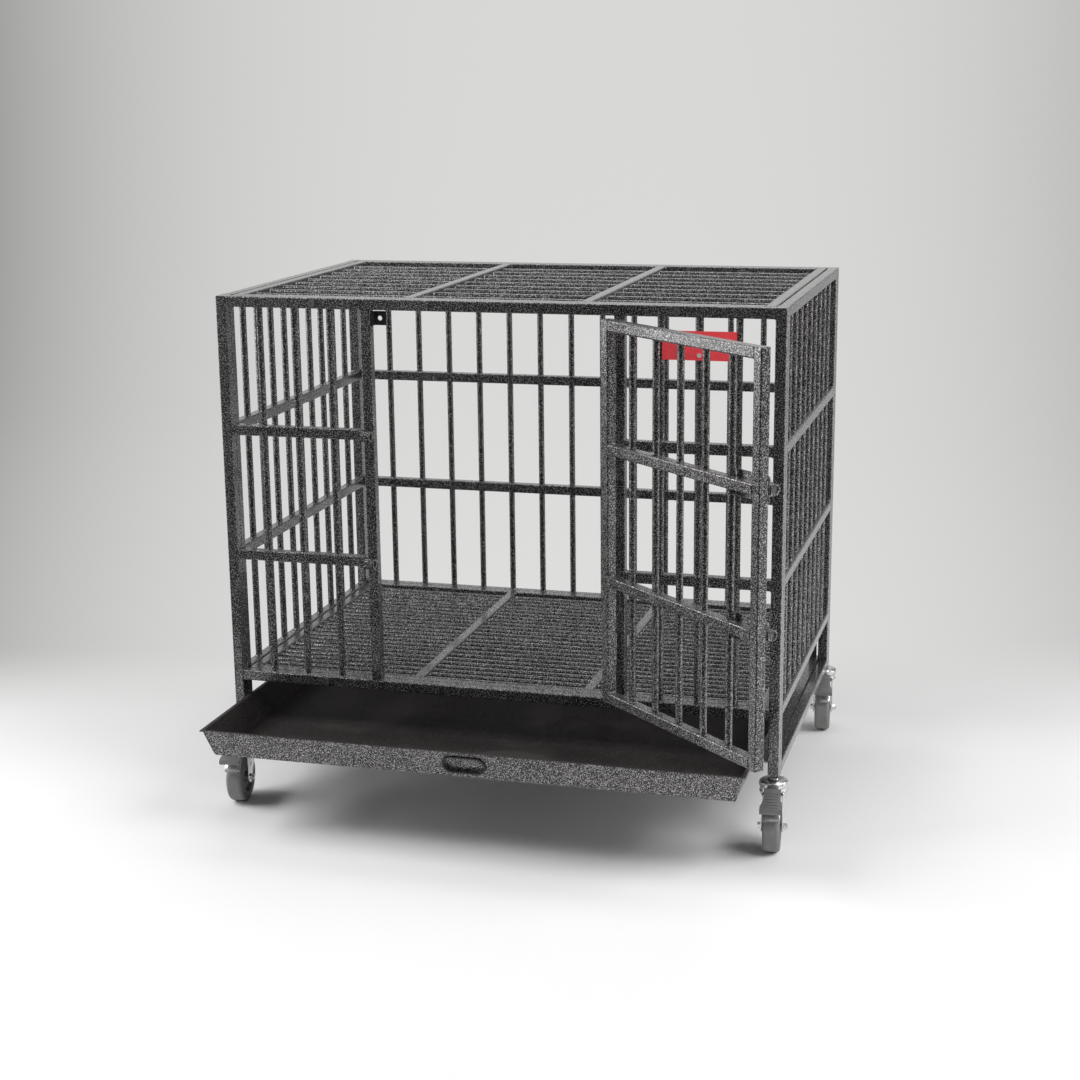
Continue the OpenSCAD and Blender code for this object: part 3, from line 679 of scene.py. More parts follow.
class Workshop:
    """Steps of hand modelling with Blender's operators. Angles are in degrees."""

    SMOOTH_ANGLE = 35.0
    SHARP_ANGLE = 38.0
    FLAT_ANGLE = 0.5
    SAME_SPOT = 0.002
    BEAD_ANGLE = 80.0
    BEAD_SIDES = 8

    @staticmethod
    def clear() -> None:
        """Deselects everything."""
        bpy.ops.object.select_all(action="DESELECT")

    @staticmethod
    def current() -> bpy.types.Object:
        """The object that an operator has just made."""
        return bpy.context.view_layer.objects.active

    @staticmethod
    def choose(piece: bpy.types.Object) -> None:
        """Makes one object the only one selected, and active."""
        Workshop.clear()
        piece.select_set(True)
        bpy.context.view_layer.objects.active = piece

    @staticmethod
    @contextmanager
    def editing(piece: bpy.types.Object, kind: str = "FACE") -> Iterator[bmesh.types.BMesh]:
        """Opens an object in edit mode with nothing selected.

        Args:
            piece: The object.
            kind: VERT, EDGE or FACE selection.

        Yields:
            The mesh that is being edited.
        """
        Workshop.choose(piece)
        bpy.ops.object.mode_set(mode="EDIT")
        bpy.ops.mesh.select_mode(type=kind)
        bpy.ops.mesh.select_all(action="DESELECT")
        yield bmesh.from_edit_mesh(piece.data)
        bpy.ops.object.mode_set(mode="OBJECT")

    @staticmethod
    def pick(piece: bpy.types.Object, elements: Sequence[Any]) -> None:
        """Selects only these elements of the mesh that is being edited."""
        bpy.ops.mesh.select_all(action="DESELECT")
        for element in elements:
            element.select_set(True)
        bmesh.update_edit_mesh(piece.data)

    @staticmethod
    def settle(piece: bpy.types.Object, name: str) -> bpy.types.Object:
        """Names an object and puts its place into its mesh.

        Args:
            piece: The object.
            name: Its name.

        Returns:
            The same object.
        """
        Workshop.choose(piece)
        bpy.ops.object.transform_apply(location=True, rotation=True, scale=True)
        piece.name = name
        piece.data.name = name
        return piece

    @staticmethod
    def apply(piece: bpy.types.Object, kind: str, **settings: Any) -> None:
        """Adds a modifier and applies it.

        Args:
            piece: The object.
            kind: The modifier's type.
            settings: Its properties.
        """
        Workshop.choose(piece)
        made = piece.modifiers.new(kind.title(), kind)
        for key, value in settings.items():
            setattr(made, key, value)
        bpy.ops.object.modifier_apply(modifier=made.name)

    @staticmethod
    def soften(piece: bpy.types.Object, angle: float = SMOOTH_ANGLE) -> None:
        """Shades smooth, with edges sharper than the angle kept."""
        Workshop.choose(piece)
        bpy.ops.object.shade_smooth_by_angle(angle=math.radians(angle))

    @staticmethod
    def copies(
        pattern: bpy.types.Object, places: Sequence[Matrix], name: str
    ) -> list[bpy.types.Object]:
        """Copies a pattern piece, each copy with its own mesh.

        Args:
            pattern: The piece that is copied.
            places: Where the copies go.
            name: The first part of their names.

        Returns:
            The copies.
        """
        made = []
        for number, place in enumerate(places):
            mesh = pattern.data.copy()
            mesh.transform(place)
            piece = bpy.data.objects.new(f"{name}_{number}", mesh)
            bpy.context.collection.objects.link(piece)
            made.append(piece)
        return made

    @staticmethod
    def join(pieces: Sequence[bpy.types.Object], name: str) -> bpy.types.Object:
        """Joins objects into one.

        Args:
            pieces: The objects.
            name: The name of the result.

        Returns:
            The joined object.
        """
        Workshop.clear()
        for piece in pieces:
            piece.select_set(True)
        bpy.context.view_layer.objects.active = pieces[0]
        bpy.ops.object.join()
        return Workshop.settle(pieces[0], name)

    @staticmethod
    def remove(piece: bpy.types.Object) -> None:
        """Deletes a pattern piece that has been copied."""
        mesh = piece.data
        bpy.data.objects.remove(piece)
        bpy.data.meshes.remove(mesh)

    @staticmethod
    def eased_copy(
        source: bpy.types.Object, name: str, width: float, rounds: int = 2
    ) -> bpy.types.Object:
        """Copies a CAD node and eases its sharp edges.

        Args:
            source: The node's object.
            name: The copy's name.
            width: The width of the eased edges.
            rounds: Their number of steps.

        Returns:
            The copy.
        """
        piece = Workshop.copies(source, [Matrix.Identity(4)], name)[0]
        with Workshop.editing(piece):
            bpy.ops.mesh.select_all(action="SELECT")
            bpy.ops.mesh.remove_doubles(threshold=Workshop.SAME_SPOT * MM)
            bpy.ops.mesh.customdata_custom_splitnormals_clear()
            bpy.ops.mesh.dissolve_limited(angle_limit=math.radians(Workshop.FLAT_ANGLE))
        Workshop.apply(
            piece,
            "BEVEL",
            width=width * MM,
            segments=rounds,
            limit_method="ANGLE",
            angle_limit=math.radians(Workshop.SHARP_ANGLE),
            use_clamp_overlap=True,
        )
        Workshop.soften(piece)
        return Workshop.settle(piece, name)

    @staticmethod
    def sheet(name: str, low: Place, high: Place) -> bpy.types.Object:
        """Models a level sheet.

        Args:
            name: Its name.
            low: Its first corner, in metres.
            high: The opposite corner.

        Returns:
            The sheet.
        """
        Workshop.clear()
        bpy.ops.mesh.primitive_plane_add(size=1.0, location=(Vector(low) + Vector(high)) / 2)
        piece = Workshop.current()
        piece.scale = (*(Vector(high) - Vector(low)).xy, 1)
        return Workshop.settle(piece, name)

    @staticmethod
    def bead(
        name: str, radius: float, length: float, cuts: int, swell: float, taper: float
    ) -> bpy.types.Object:
        """Models a weld bead along Z, centred on the origin.

        Args:
            name: Its name.
            radius: Its radius.
            length: Its length.
            cuts: The number of rows between its ends.
            swell: The factor of every other row.
            taper: The factor of its ends.

        Returns:
            The bead.
        """
        Workshop.clear()
        bpy.ops.mesh.primitive_cylinder_add(
            vertices=Workshop.BEAD_SIDES, radius=radius * MM, depth=length * MM
        )
        piece = Workshop.settle(Workshop.current(), name)
        half = length * MM / 2
        with Workshop.editing(piece, "EDGE") as mesh:
            rises = [(e, abs(e.verts[0].co.z - e.verts[1].co.z)) for e in mesh.edges]
            Workshop.pick(piece, [edge for edge, rise in rises if rise > half])
            bpy.ops.mesh.subdivide(number_cuts=cuts)
        with Workshop.editing(piece, "VERT") as mesh:
            rows = [(v, round((v.co.z / half + 1) * (cuts + 1) / 2)) for v in mesh.verts]
            Workshop.pick(piece, [v for v, row in rows if row % 2])
            bpy.ops.transform.resize(value=(swell, swell, 1))
            Workshop.pick(piece, [v for v, row in rows if row in (0, cuts + 1)])
            bpy.ops.transform.resize(value=(taper, taper, 1))
        Workshop.soften(piece, Workshop.BEAD_ANGLE)
        return piece


class Wardrobe:
    """Makes each finish once, and puts it on nodes and pieces."""

    def __init__(self) -> None:
        """Makes the finishes of all slots but the tyres'."""
        wheel = MouldedPlastic("wheel_plastic", (0.13, 0.13, 0.132), (0.18, 0.18, 0.183))
        pedal = MouldedPlastic("pedal_plastic", (0.15, 0.147, 0.148), (0.215, 0.21, 0.212))
        finishes: dict[Slot, Finish] = {
            Slot.HAMMERTONE: HammertoneCoat(),
            Slot.TRAY: TraySheet(),
            Slot.BLACK: SatinBlack(),
            Slot.RED: GlossRed(),
            Slot.ZINC: Plating("zinc", (0.74, 0.74, 0.75), (0.56, 0.56, 0.56), 0.16),
            Slot.DARK_ZINC: Plating("dark_zinc", (0.30, 0.30, 0.31), (0.19, 0.185, 0.18), 0.30),
            Slot.WHEEL_PLASTIC: wheel,
            Slot.PEDAL_PLASTIC: pedal,
            Slot.BLACK_RUBBER: SoftRubber(),
        }
        self.materials = {slot: finish.material() for slot, finish in finishes.items()}

    def dress(self, piece: bpy.types.Object, slot: Slot, body: str) -> bpy.types.Object:
        """Gives a new piece its finish, slot and body.

        Args:
            piece: The piece.
            slot: The slot of its finish.
            body: The body that it rides on.

        Returns:
            The piece.
        """
        piece.data.materials.clear()
        piece.data.materials.append(self.materials[slot])
        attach(piece, body)
        LOG.info("piece %s: %d faces on %s", piece.name, len(piece.data.polygons), body)
        return piece

    def dress_node(self, node: bpy.types.Object, material: bpy.types.Material) -> None:
        """Puts a material on a CAD node's slots."""
        for place in node.material_slots:
            place.material = material
        LOG.info("node %s: %s", node.name, material.name)


@dataclass
class Tubing:
    """Stock and levels that the crate's panels share."""

    tube: float = 20.0
    bar: float = 12.7
    half_x: float = 540.0
    half_y: float = 360.0
    door_post: float = 251.0
    levels: tuple[Span, ...] = ((262.0, 487.0), (507.0, 732.0), (752.0, 977.0))
    spans: tuple[Span, ...] = ((-497.0, -180.0), (-160.0, 160.0), (180.0, 497.0))

    def spread(self, count: int, low: float, high: float) -> list[float]:
        """Middles of a number of bars that stand evenly between two faces."""
        gap = (high - low - count * self.bar) / (count + 1)
        return [low + i * gap + (i - 0.5) * self.bar for i in range(1, count + 1)]


@dataclass
class WeldBeads:
    """The weld beads: a collar round each bar's end and a fillet in each inner corner of a panel."""

    tubing: Tubing
    collar_r: float = 8.0
    collar_h: float = 1.9
    collar_bite: float = 0.2
    collar_sides: int = 14
    collar_dip: float = 0.94
    fillet_r: float = 2.0
    fillet_l: float = 17.0
    fillet_taper: float = 0.55
    ripples: int = 5
    ripple: float = 1.10
    front_bars: int = 3
    side_bars: int = 9
    back_bars: int = 14
    top: tuple[float, int] = (987.0, 9)
    floor: tuple[float, int] = (252.0, 24)
    door_bars: int = 5
    door_levels: tuple[Span, ...] = ((285.0, 487.0), (507.0, 732.0), (752.0, 954.0))
    door_stiles: Span = (-204.0, 208.0)
    door_middle: float = -350.0
    door_axis: Span = (229.5, -366.0)
    door_turn: float = 138.0
    patterns: list[bpy.types.Object] = field(default_factory=list)

    def collar(self) -> bpy.types.Object:
        """A low skirt round a bar that stands on the origin, its foot rippled by the weaving torch."""
        Workshop.clear()
        bpy.ops.mesh.primitive_cone_add(
            vertices=self.collar_sides,
            radius1=self.collar_r * MM,
            radius2=(self.tubing.bar / 2 - self.collar_bite) * MM,
            depth=self.collar_h * MM,
            location=(0, 0, self.collar_h * MM / 2),
        )
        piece = Workshop.settle(Workshop.current(), "bar_collar")
        with Workshop.editing(piece, "VERT") as mesh:
            foot = [v for v in mesh.verts if v.co.z < self.collar_h * MM / 2]
            foot.sort(key=lambda v: math.atan2(v.co.y, v.co.x))
            Workshop.pick(piece, foot[::2])
            bpy.ops.transform.resize(value=(self.collar_dip, self.collar_dip, 1))
        Workshop.soften(piece, Workshop.BEAD_ANGLE)
        return piece

    def fillet(self) -> bpy.types.Object:
        """A short rippled bead along Z, centred on the origin."""
        sizes = (self.fillet_r, self.fillet_l, self.ripples, self.ripple, self.fillet_taper)
        return Workshop.bead("corner_fillet", *sizes)

    def bar_ends(
        self, along: Axis, spans: Sequence[Span], foots: Sequence[Place]
    ) -> list[Matrix]:
        """Places of the collars of a set of bars.

        Args:
            along: The direction that the bars run in.
            spans: The faces that the bars stand between.
            foots: The bars' middles, with 0 along the bars.

        Returns:
            One place for each end of each bar.
        """
        made = []
        for foot in foots:
            for span in spans:
                for face, sign in zip(span, (1.0, -1.0)):
                    spot = (Vector(foot) + along.vector() * face) * MM
                    made.append(Matrix.Translation(spot) @ along.turn(sign))
        return made

    def corners(self, along: Axis, spots: Sequence[Place]) -> list[Matrix]:
        """Places of fillets that run in one direction."""
        return [Matrix.Translation(Vector(spot) * MM) @ along.turn() for spot in spots]

    def panel(
        self, name: str, collars: Sequence[Matrix], fillets: Sequence[Matrix]
    ) -> bpy.types.Object:
        """Copies the patterns to one panel and joins them.

        Args:
            name: The piece's name.
            collars: Where the collars go.
            fillets: Where the fillets go.

        Returns:
            The panel's beads.
        """
        collar, fillet = self.patterns
        rings = Workshop.copies(collar, collars, name + "_collar")
        runs = Workshop.copies(fillet, fillets, name + "_fillet")
        return Workshop.join(rings + runs, name)

    def upright(
        self,
        levels: Sequence[Span],
        along: Axis,
        across: float,
        bars: Sequence[float],
        posts: Sequence[float],
    ) -> tuple[list[Matrix], list[Matrix]]:
        """Places of the beads of an upright panel.

        Args:
            levels: The faces that its bars stand between.
            along: The direction that its rails run in.
            across: Its middle in the other level direction.
            bars: The bars' middles along the rails.
            posts: The posts' faces that the rails meet.

        Returns:
            The collars' and the fillets' places.
        """
        def spot(run: float, height: float) -> Place:
            """A place on the panel's middle plane."""
            return (run, across, height) if along is Axis.X else (across, run, height)

        heights = [face for level in levels for face in level]
        through = Axis.Y if along is Axis.X else Axis.X
        collars = self.bar_ends(Axis.Z, levels, [spot(run, 0.0) for run in bars])
        return collars, self.corners(through, [spot(run, z) for run in posts for z in heights])

    def deck(self, name: str, height: float, count: int) -> bpy.types.Object:
        """The beads of the floor or the top.

        Args:
            name: The piece's name.
            height: The panel's middle.
            count: The number of bars in each of its three fields.

        Returns:
            The panel's beads.
        """
        side = self.tubing.half_y - 2 * self.tubing.tube
        rows = self.tubing.spread(count, -side, side)
        collars = self.bar_ends(Axis.X, self.tubing.spans, [(0.0, y, height) for y in rows])
        faces = [face for span in self.tubing.spans for face in span]
        fillets = self.corners(Axis.Z, [(x, y, height) for x in faces for y in (-side, side)])
        return self.panel(name, collars, fillets)

    def door(self, name: str) -> bpy.types.Object:
        """The beads of the door, turned to where it stands open.

        Args:
            name: The piece's name.

        Returns:
            The door's beads.
        """
        bars = self.tubing.spread(self.door_bars, *self.door_stiles)
        places = self.upright(self.door_levels, Axis.X, self.door_middle, bars, self.door_stiles)
        pin = Matrix.Translation(Vector((*self.door_axis, 0.0)) * MM)
        swing = pin @ Matrix.Rotation(math.radians(self.door_turn), 4, "Z") @ pin.inverted()
        return self.panel(name, *([swing @ place for place in kind] for kind in places))

    def build(self, wardrobe: Wardrobe) -> None:
        """Models and dresses the beads of all panels.

        Args:
            wardrobe: The finishes.
        """
        self.patterns = [self.collar(), self.fillet()]
        stock = self.tubing
        inner_x = stock.half_x - stock.tube
        side_y = stock.half_y - 2 * stock.tube
        mid_x = stock.half_x - stock.tube / 2
        mid_y = stock.half_y - stock.tube / 2
        section = stock.spread(self.front_bars, stock.door_post, inner_x)
        front = section + [-x for x in section]
        side = stock.spread(self.side_bars, -side_y, side_y)
        back = stock.spread(self.back_bars, -inner_x, inner_x)
        posts = (-inner_x, -stock.door_post, stock.door_post, inner_x)
        walls = {
            "front_weld_beads": (Axis.X, -mid_y, front, posts),
            "back_weld_beads": (Axis.X, mid_y, back, (-inner_x, inner_x)),
            "left_weld_beads": (Axis.Y, -mid_x, side, (-side_y, side_y)),
            "right_weld_beads": (Axis.Y, mid_x, side, (-side_y, side_y)),
        }
        made = [self.panel(name, *self.upright(stock.levels, *row)) for name, row in walls.items()]
        made += [self.deck("top_weld_beads", *self.top), self.deck("floor_weld_beads", *self.floor)]
        for piece in made:
            wardrobe.dress(piece, Slot.HAMMERTONE, Body.FRAME.value)
        wardrobe.dress(self.door("door_weld_beads"), Slot.HAMMERTONE, Body.DOOR.value)
        for pattern in self.patterns:
            Workshop.remove(pattern)


@dataclass
class TrayPan:
    """The tray's corner welds, where its folded walls meet."""

    middle: Span = (0.0, -227.75)
    base: float = 157.2
    height: float = 53.0
    foot: Span = (494.0, 327.25)
    wall: Span = (510.0, 343.25)
    bead_r: float = 1.5
    bead_run: Span = (0.03, 0.955)
    steps: int = 8
    taper: float = 0.5

    def corner(self, sign_x: float, sign_y: float) -> bpy.types.Object:
        """The weld along one corner.

        Args:
            sign_x: The corner's side in X.
            sign_y: The corner's side in Y.

        Returns:
            The weld.
        """
        x, y = self.middle
        foot = Vector((x + sign_x * self.foot[0], y + sign_y * self.foot[1], self.base))
        rim = Vector((x + sign_x * self.wall[0], y + sign_y * self.wall[1], self.base + self.height))
        low, high = (foot.lerp(rim, share) for share in self.bead_run)
        run = high - low
        piece = Workshop.bead("tray_corner", self.bead_r, run.length, self.steps, 1.0, self.taper)
        turn = run.to_track_quat("Z", "X").to_matrix().to_4x4()
        piece.matrix_world = Matrix.Translation((low + high) / 2 * MM) @ turn
        return Workshop.settle(piece, "tray_corner")

    def build(self, wardrobe: Wardrobe) -> None:
        """Models and dresses the four corner welds.

        Args:
            wardrobe: The finishes.
        """
        corners = [self.corner(x, y) for x in (-1, 1) for y in (-1, 1)]
        welds = Workshop.join(corners, "tray_corner_welds")
        wardrobe.dress(welds, Slot.HAMMERTONE, Body.TRAY.value)


@dataclass
class Caster:
    """One caster's pedal ribs, brake plate, and eased fork and pedal.

    Its pieces are modelled as if the swivel axis stood at the origin, and then put in their place.
    """

    corner: str
    swivel: Span
    turn: float = 6.0
    trail: float = 32.0
    axle_z: float = 48.0
    rib_size: Place = (25.0, 2.6, 2.4)
    rib_count: int = 6
    rib_edge: float = 0.9
    pedal_edge: float = 0.9
    edge_steps: int = 3
    fork_edge: float = 0.45
    slope: tuple[Span, Span] = ((-95.0, 104.0), (-37.0, 122.0))
    rib_run: Span = (0.09, 0.76)
    plate_r: float = 57.0
    plate_t: float = 1.5
    plate_w: float = 31.0
    plate_arc: Span = (27.5, 66.0)
    plate_sides: int = 120
    plate_low: float = 82.2
    plate_corner: float = 3.0
    plate_edge: float = 0.4

    def place(self) -> Matrix:
        """Where the turned caster stands, in metres."""
        spot = Vector((*self.swivel, 0.0)) * MM
        return Matrix.Translation(spot) @ Matrix.Rotation(math.radians(self.turn), 4, "Z")

    def axle(self) -> Place:
        """The middle of the wheel, in metres."""
        return tuple(self.place() @ Vector((0.0, -self.trail * MM, self.axle_z * MM)))

    def rib(self) -> bpy.types.Object:
        """One grip rib, at the origin, with a rounded back."""
        Workshop.clear()
        bpy.ops.mesh.primitive_cube_add(size=1.0, scale=tuple(s * MM for s in self.rib_size))
        piece = Workshop.settle(Workshop.current(), "pedal_rib")
        with Workshop.editing(piece, "EDGE") as mesh:
            top = [e for e in mesh.edges if min(v.co.z for v in e.verts) > 0]
            Workshop.pick(piece, top)
            bpy.ops.mesh.bevel(offset=self.rib_edge * MM, segments=self.edge_steps)
        Workshop.soften(piece)
        return piece

    def pedal(self, node: bpy.types.Object) -> bpy.types.Object:
        """The pedal with eased edges and its grip ribs.

        Args:
            node: The CAD pedal.

        Returns:
            The finished pedal.
        """
        shell = Workshop.eased_copy(node, "pedal_shell", self.pedal_edge, self.edge_steps)
        start, end = (Vector((0.0, *spot)) for spot in self.slope)
        tilt = Matrix.Rotation(math.atan2(end.z - start.z, end.y - start.y), 4, "X")
        first, last = self.rib_run
        places = []
        for number in range(self.rib_count):
            share = first + (last - first) * number / (self.rib_count - 1)
            places.append(self.place() @ Matrix.Translation(start.lerp(end, share) * MM) @ tilt)
        pattern = self.rib()
        ribs = Workshop.copies(pattern, places, "rib")
        Workshop.remove(pattern)
        return Workshop.join([shell] + ribs, "pedal_ribbed_" + self.corner)

    def brake_plate(self) -> bpy.types.Object:
        """The bright curved plate under the pedal, just clear of the tread."""
        Workshop.clear()
        bpy.ops.mesh.primitive_cylinder_add(
            vertices=self.plate_sides,
            radius=self.plate_r * MM,
            depth=self.plate_w * MM,
            end_fill_type="NOTHING",
            location=(0, -self.trail * MM, self.axle_z * MM),
            rotation=(0, math.pi / 2, 0),
        )
        piece = Workshop.settle(Workshop.current(), "brake_plate_" + self.corner)
        with Workshop.editing(piece) as mesh:
            rest = []
            for face in mesh.faces:
                spot = face.calc_center_median() / MM
                rise = math.degrees(math.atan2(spot.z - self.axle_z, -self.trail - spot.y))
                if not self.plate_arc[0] < rise < self.plate_arc[1]:
                    rest.append(face)
            Workshop.pick(piece, rest)
            bpy.ops.mesh.delete(type="FACE")
        with Workshop.editing(piece, "VERT") as mesh:
            ends = [v for v in mesh.verts if len(v.link_faces) == 1]
            Workshop.pick(piece, [v for v in ends if v.co.z < self.plate_low * MM])
            bpy.ops.mesh.bevel(offset=self.plate_corner * MM, segments=4, affect="VERTICES")
        Workshop.apply(piece, "SOLIDIFY", thickness=self.plate_t * MM, offset=1.0)
        Workshop.apply(piece, "BEVEL", width=self.plate_edge * MM, segments=2, limit_method="ANGLE")
        Workshop.soften(piece)
        piece.matrix_world = self.place()
        return Workshop.settle(piece, "brake_plate_" + self.corner)

    def build(self, wardrobe: Wardrobe, nodes: dict[str, bpy.types.Object]) -> None:
        """Models the caster's pieces and dresses them and its tyre.

        Args:
            wardrobe: The finishes.
            nodes: The CAD nodes.
        """
        pedal = self.pedal(nodes["pedal_" + self.corner])
        wardrobe.dress(pedal, Slot.PEDAL_PLASTIC, "pedal_" + self.corner)
        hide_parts("pedal_" + self.corner)
        wardrobe.dress(self.brake_plate(), Slot.ZINC, "pedal_" + self.corner)
        node = nodes["fork_" + self.corner]
        fork = Workshop.eased_copy(node, "fork_eased_" + self.corner, self.fork_edge)
        wardrobe.dress(fork, Slot.ZINC, "swivel_" + self.corner)
        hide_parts("fork_" + self.corner)
        rubber = WheelRubber("wheel_rubber_" + self.corner, self.axle(), math.radians(self.turn))
        wardrobe.dress_node(nodes["tyre_" + self.corner], rubber.material())


@dataclass
class Fittings:
    """The red plate and the stop bracket, with eased edges."""

    plate_edge: float = 0.4
    bracket_edge: float = 0.5
    steps: int = 3

    def build(self, wardrobe: Wardrobe, nodes: dict[str, bpy.types.Object]) -> None:
        """Models and dresses the two fittings.

        Args:
            wardrobe: The finishes.
            nodes: The CAD nodes.
        """
        plate = Workshop.eased_copy(nodes["red_plate"], "red_plate_eased", self.plate_edge, self.steps)
        wardrobe.dress(plate, Slot.RED, Body.FRAME.value)
        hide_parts("red_plate")
        node = nodes["stop_bracket"]
        bracket = Workshop.eased_copy(node, "stop_bracket_eased", self.bracket_edge, self.steps)
        wardrobe.dress(bracket, Slot.BLACK, Body.FRAME.value)
        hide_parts("stop_bracket")


@dataclass
class SoftBox:
    """One lamp of the studio, in metres and watts."""

    name: str
    place: Place
    aim: Place
    size: Span
    power: float

    def build(self) -> None:
        """Adds the lamp, which the camera doesn't see."""
        Workshop.clear()
        bpy.ops.object.light_add(type="AREA", location=self.place)
        lamp = Workshop.current()
        lamp.name = self.name
        beam = Vector(self.aim) - Vector(self.place)
        lamp.rotation_euler = beam.to_track_quat("-Z", "Y").to_euler()
        lamp.data.shape = "RECTANGLE"
        lamp.data.size, lamp.data.size_y = self.size
        lamp.data.energy = self.power
        lamp.visible_camera = False


@dataclass
class Studio:
    """The pale sweep, its soft lamps and the camera. Sizes are in metres."""

    half_width: float = 9.0
    front: float = -7.0
    back: float = 5.5
    rise: float = 6.0
    sweep: float = 2.2
    sweep_steps: int = 24
    near: float = 0.01
    paper: Colour = (0.95, 0.95, 0.95)
    paper_rough: float = 0.85
    paper_specular: float = 0.15
    mottle: Grain = Grain(400.0, 3.0)
    mottle_share: float = 0.06
    # Painted shade: the grey that the floor is painted towards the back, where light falls off.
    far_paper_painted_shade: Colour = (0.72, 0.72, 0.715)
    far: Span = (3.3, 4.5)
    # The glow paints a pool of light on the backdrop, brightest in its middle and dimmer to the sides.
    glow: Span = (4.1, 4.7)
    glow_peak: float = 0.74
    glow_middle: float = 0.028
    glow_fall: Span = (2.84, 0.99)
    glow_least: float = 0.30
    glow_fade: Span = (1.045, 0.0122)
    glow_tint: Colour = (1.0, 0.996, 0.985)
    flag: Colour = (0.05, 0.05, 0.05)
    flag_pale: Colour = (0.08, 0.08, 0.08)
    flag_rough: float = 0.9
    flag_specular: float = 0.1
    weave: Grain = Grain(4.0)
    front_flag: tuple[Place, Place] = ((-2.3, -6.9, 0.004), (4.5, -1.3, 0.004))
    left_flag: tuple[Place, Place] = ((-4.3, -1.3, 0.004), (-1.0, 1.2, 0.004))
    front_rise: Place = (0.0, 0.0, 2.6)
    left_rise: Place = (-0.5, 0.0, 0.0)
    room: Colour = (0.72, 0.72, 0.73)
    room_power: float = 0.17
    room_seen: float = 0.45
    eye: Place = (1.03026, -3.67248, 1.40019)
    yaw: float = -15.845
    pitch: float = -13.725
    roll: float = -0.665
    lens: float = 63.942
    sensor: float = 36.0
    lamps: list[SoftBox] = field(
        default_factory=lambda: [
            SoftBox("overhead_softbox", (0.0, 1.3, 3.4), (0.0, 0.0, 0.6), (3.4, 1.2), 28.0),
            SoftBox("high_left_softbox", (-2.75, -1.2, 2.8), (-0.1, -0.3, 0.1), (2.0, 2.0), 92.0),
            SoftBox("high_right_softbox", (2.75, -1.2, 2.8), (0.1, -0.3, 0.1), (2.0, 2.0), 68.0),
            SoftBox("low_right_softbox", (4.2, 1.0, 1.9), (0.4, 0.0, 0.6), (2.2, 2.6), 86.0),
            SoftBox("low_left_softbox", (-4.3, -0.8, 1.12), (-0.3, -0.3, 0.6), (2.4, 1.8), 56.0),
        ]
    )

    def paper_material(self) -> bpy.types.Material:
        """Matt paper with painted shade that greys it towards the back, turning into a glowing backdrop
        behind the crate.

        Both follow the run from the tripod's foot; the backdrop's glow is a painted pool of light,
        brightest in its middle and dimmer to the sides and further back.
        """
        bench = ShaderBench.named("paper")
        point = bench.point()
        east, north = (bench.part(point, axis) - self.eye[axis.value] for axis in (Axis.X, Axis.Y))
        yaw = math.radians(self.yaw)
        run = east * math.sin(yaw) + north * math.cos(yaw)
        aside = abs((east * math.cos(yaw) - north * math.sin(yaw)) / run - self.glow_middle)
        mottle = (bench.grain(point, self.mottle) - 0.5) * self.mottle_share
        # Painted shade: the paper's colour greys with the run from the tripod, standing in for light
        # that falls off.
        shade = bench.mix(run.smooth(*self.far) + mottle, self.paper, self.far_paper_painted_shade)
        sheet = bench.shader(Layers(shade, self.paper_rough, specular=self.paper_specular))
        # Painted pool of light: the glow falls off to the sides of its middle and fades with the run,
        # down to its least level.
        fall = aside * aside * aside * (self.glow_fall[0] + run * self.glow_fall[1])
        level = bench.maths("MAXIMUM", self.glow_peak - fall, self.glow_least)
        level = level * (self.glow_fade[0] - run * self.glow_fade[1])
        shine = bench.mix(level, (0.0, 0.0, 0.0), self.glow_tint)
        glow = bench.node("ShaderNodeEmission", {}, {"Color": shine})
        lit = run.smooth(*self.glow) * bench.seen()
        return bench.close(bench.node("ShaderNodeMixShader", {}, {0: lit, 1: sheet, 2: glow}))

    def build_paper(self) -> None:
        """Models the sweep: a floor whose back edge is drawn up and rounded."""
        corners = ((-self.half_width, self.front, 0.0), (self.half_width, self.back, 0.0))
        paper = Workshop.sheet("paper_sweep", *corners)
        edge = self.back - self.near
        with Workshop.editing(paper, "EDGE") as mesh:
            Workshop.pick(paper, [e for e in mesh.edges if min(v.co.y for v in e.verts) > edge])
            bpy.ops.mesh.extrude_region_move(TRANSFORM_OT_translate={"value": (0, 0, self.rise)})
        with Workshop.editing(paper, "EDGE") as mesh:
            low = [e for e in mesh.edges if max(v.co.z for v in e.verts) < self.near]
            Workshop.pick(paper, [e for e in low if min(v.co.y for v in e.verts) > edge])
            bpy.ops.mesh.bevel(offset=self.sweep, segments=self.sweep_steps)
        Workshop.soften(paper)
        paper.data.materials.append(self.paper_material())

    def build_flag(
        self, name: str, corners: tuple[Place, Place], rise: Place, cloth: bpy.types.Material
    ) -> None:
        """Models a dark cloth that only mirrored rays see, which darkens what the crate's faces mirror.

        Args:
            name: Its name.
            corners: Two opposite corners of the cloth's lying part.
            rise: How its far edge, at the first corner, is drawn up.
            cloth: Its material.
        """
        flag = Workshop.sheet(name, *corners)
        edge = corners[0][1] + self.near
        with Workshop.editing(flag, "EDGE") as mesh:
            Workshop.pick(flag, [e for e in mesh.edges if max(v.co.y for v in e.verts) < edge])
            bpy.ops.mesh.extrude_region_move(TRANSFORM_OT_translate={"value": rise})
        flag.data.materials.append(cloth)
        flag.visible_camera = flag.visible_diffuse = flag.visible_shadow = False

    def build_flags(self) -> None:
        """Lays the flags before the crate and to its left."""
        bench = ShaderBench.named("flag_cloth")
        shade = bench.mix(bench.grain(bench.point(), self.weave), self.flag, self.flag_pale)
        sheet = Layers(shade, self.flag_rough, specular=self.flag_specular)
        cloth = bench.close(bench.shader(sheet))
        self.build_flag("front_flag", self.front_flag, self.front_rise, cloth)
        self.build_flag("left_flag", self.left_flag, self.left_rise, cloth)

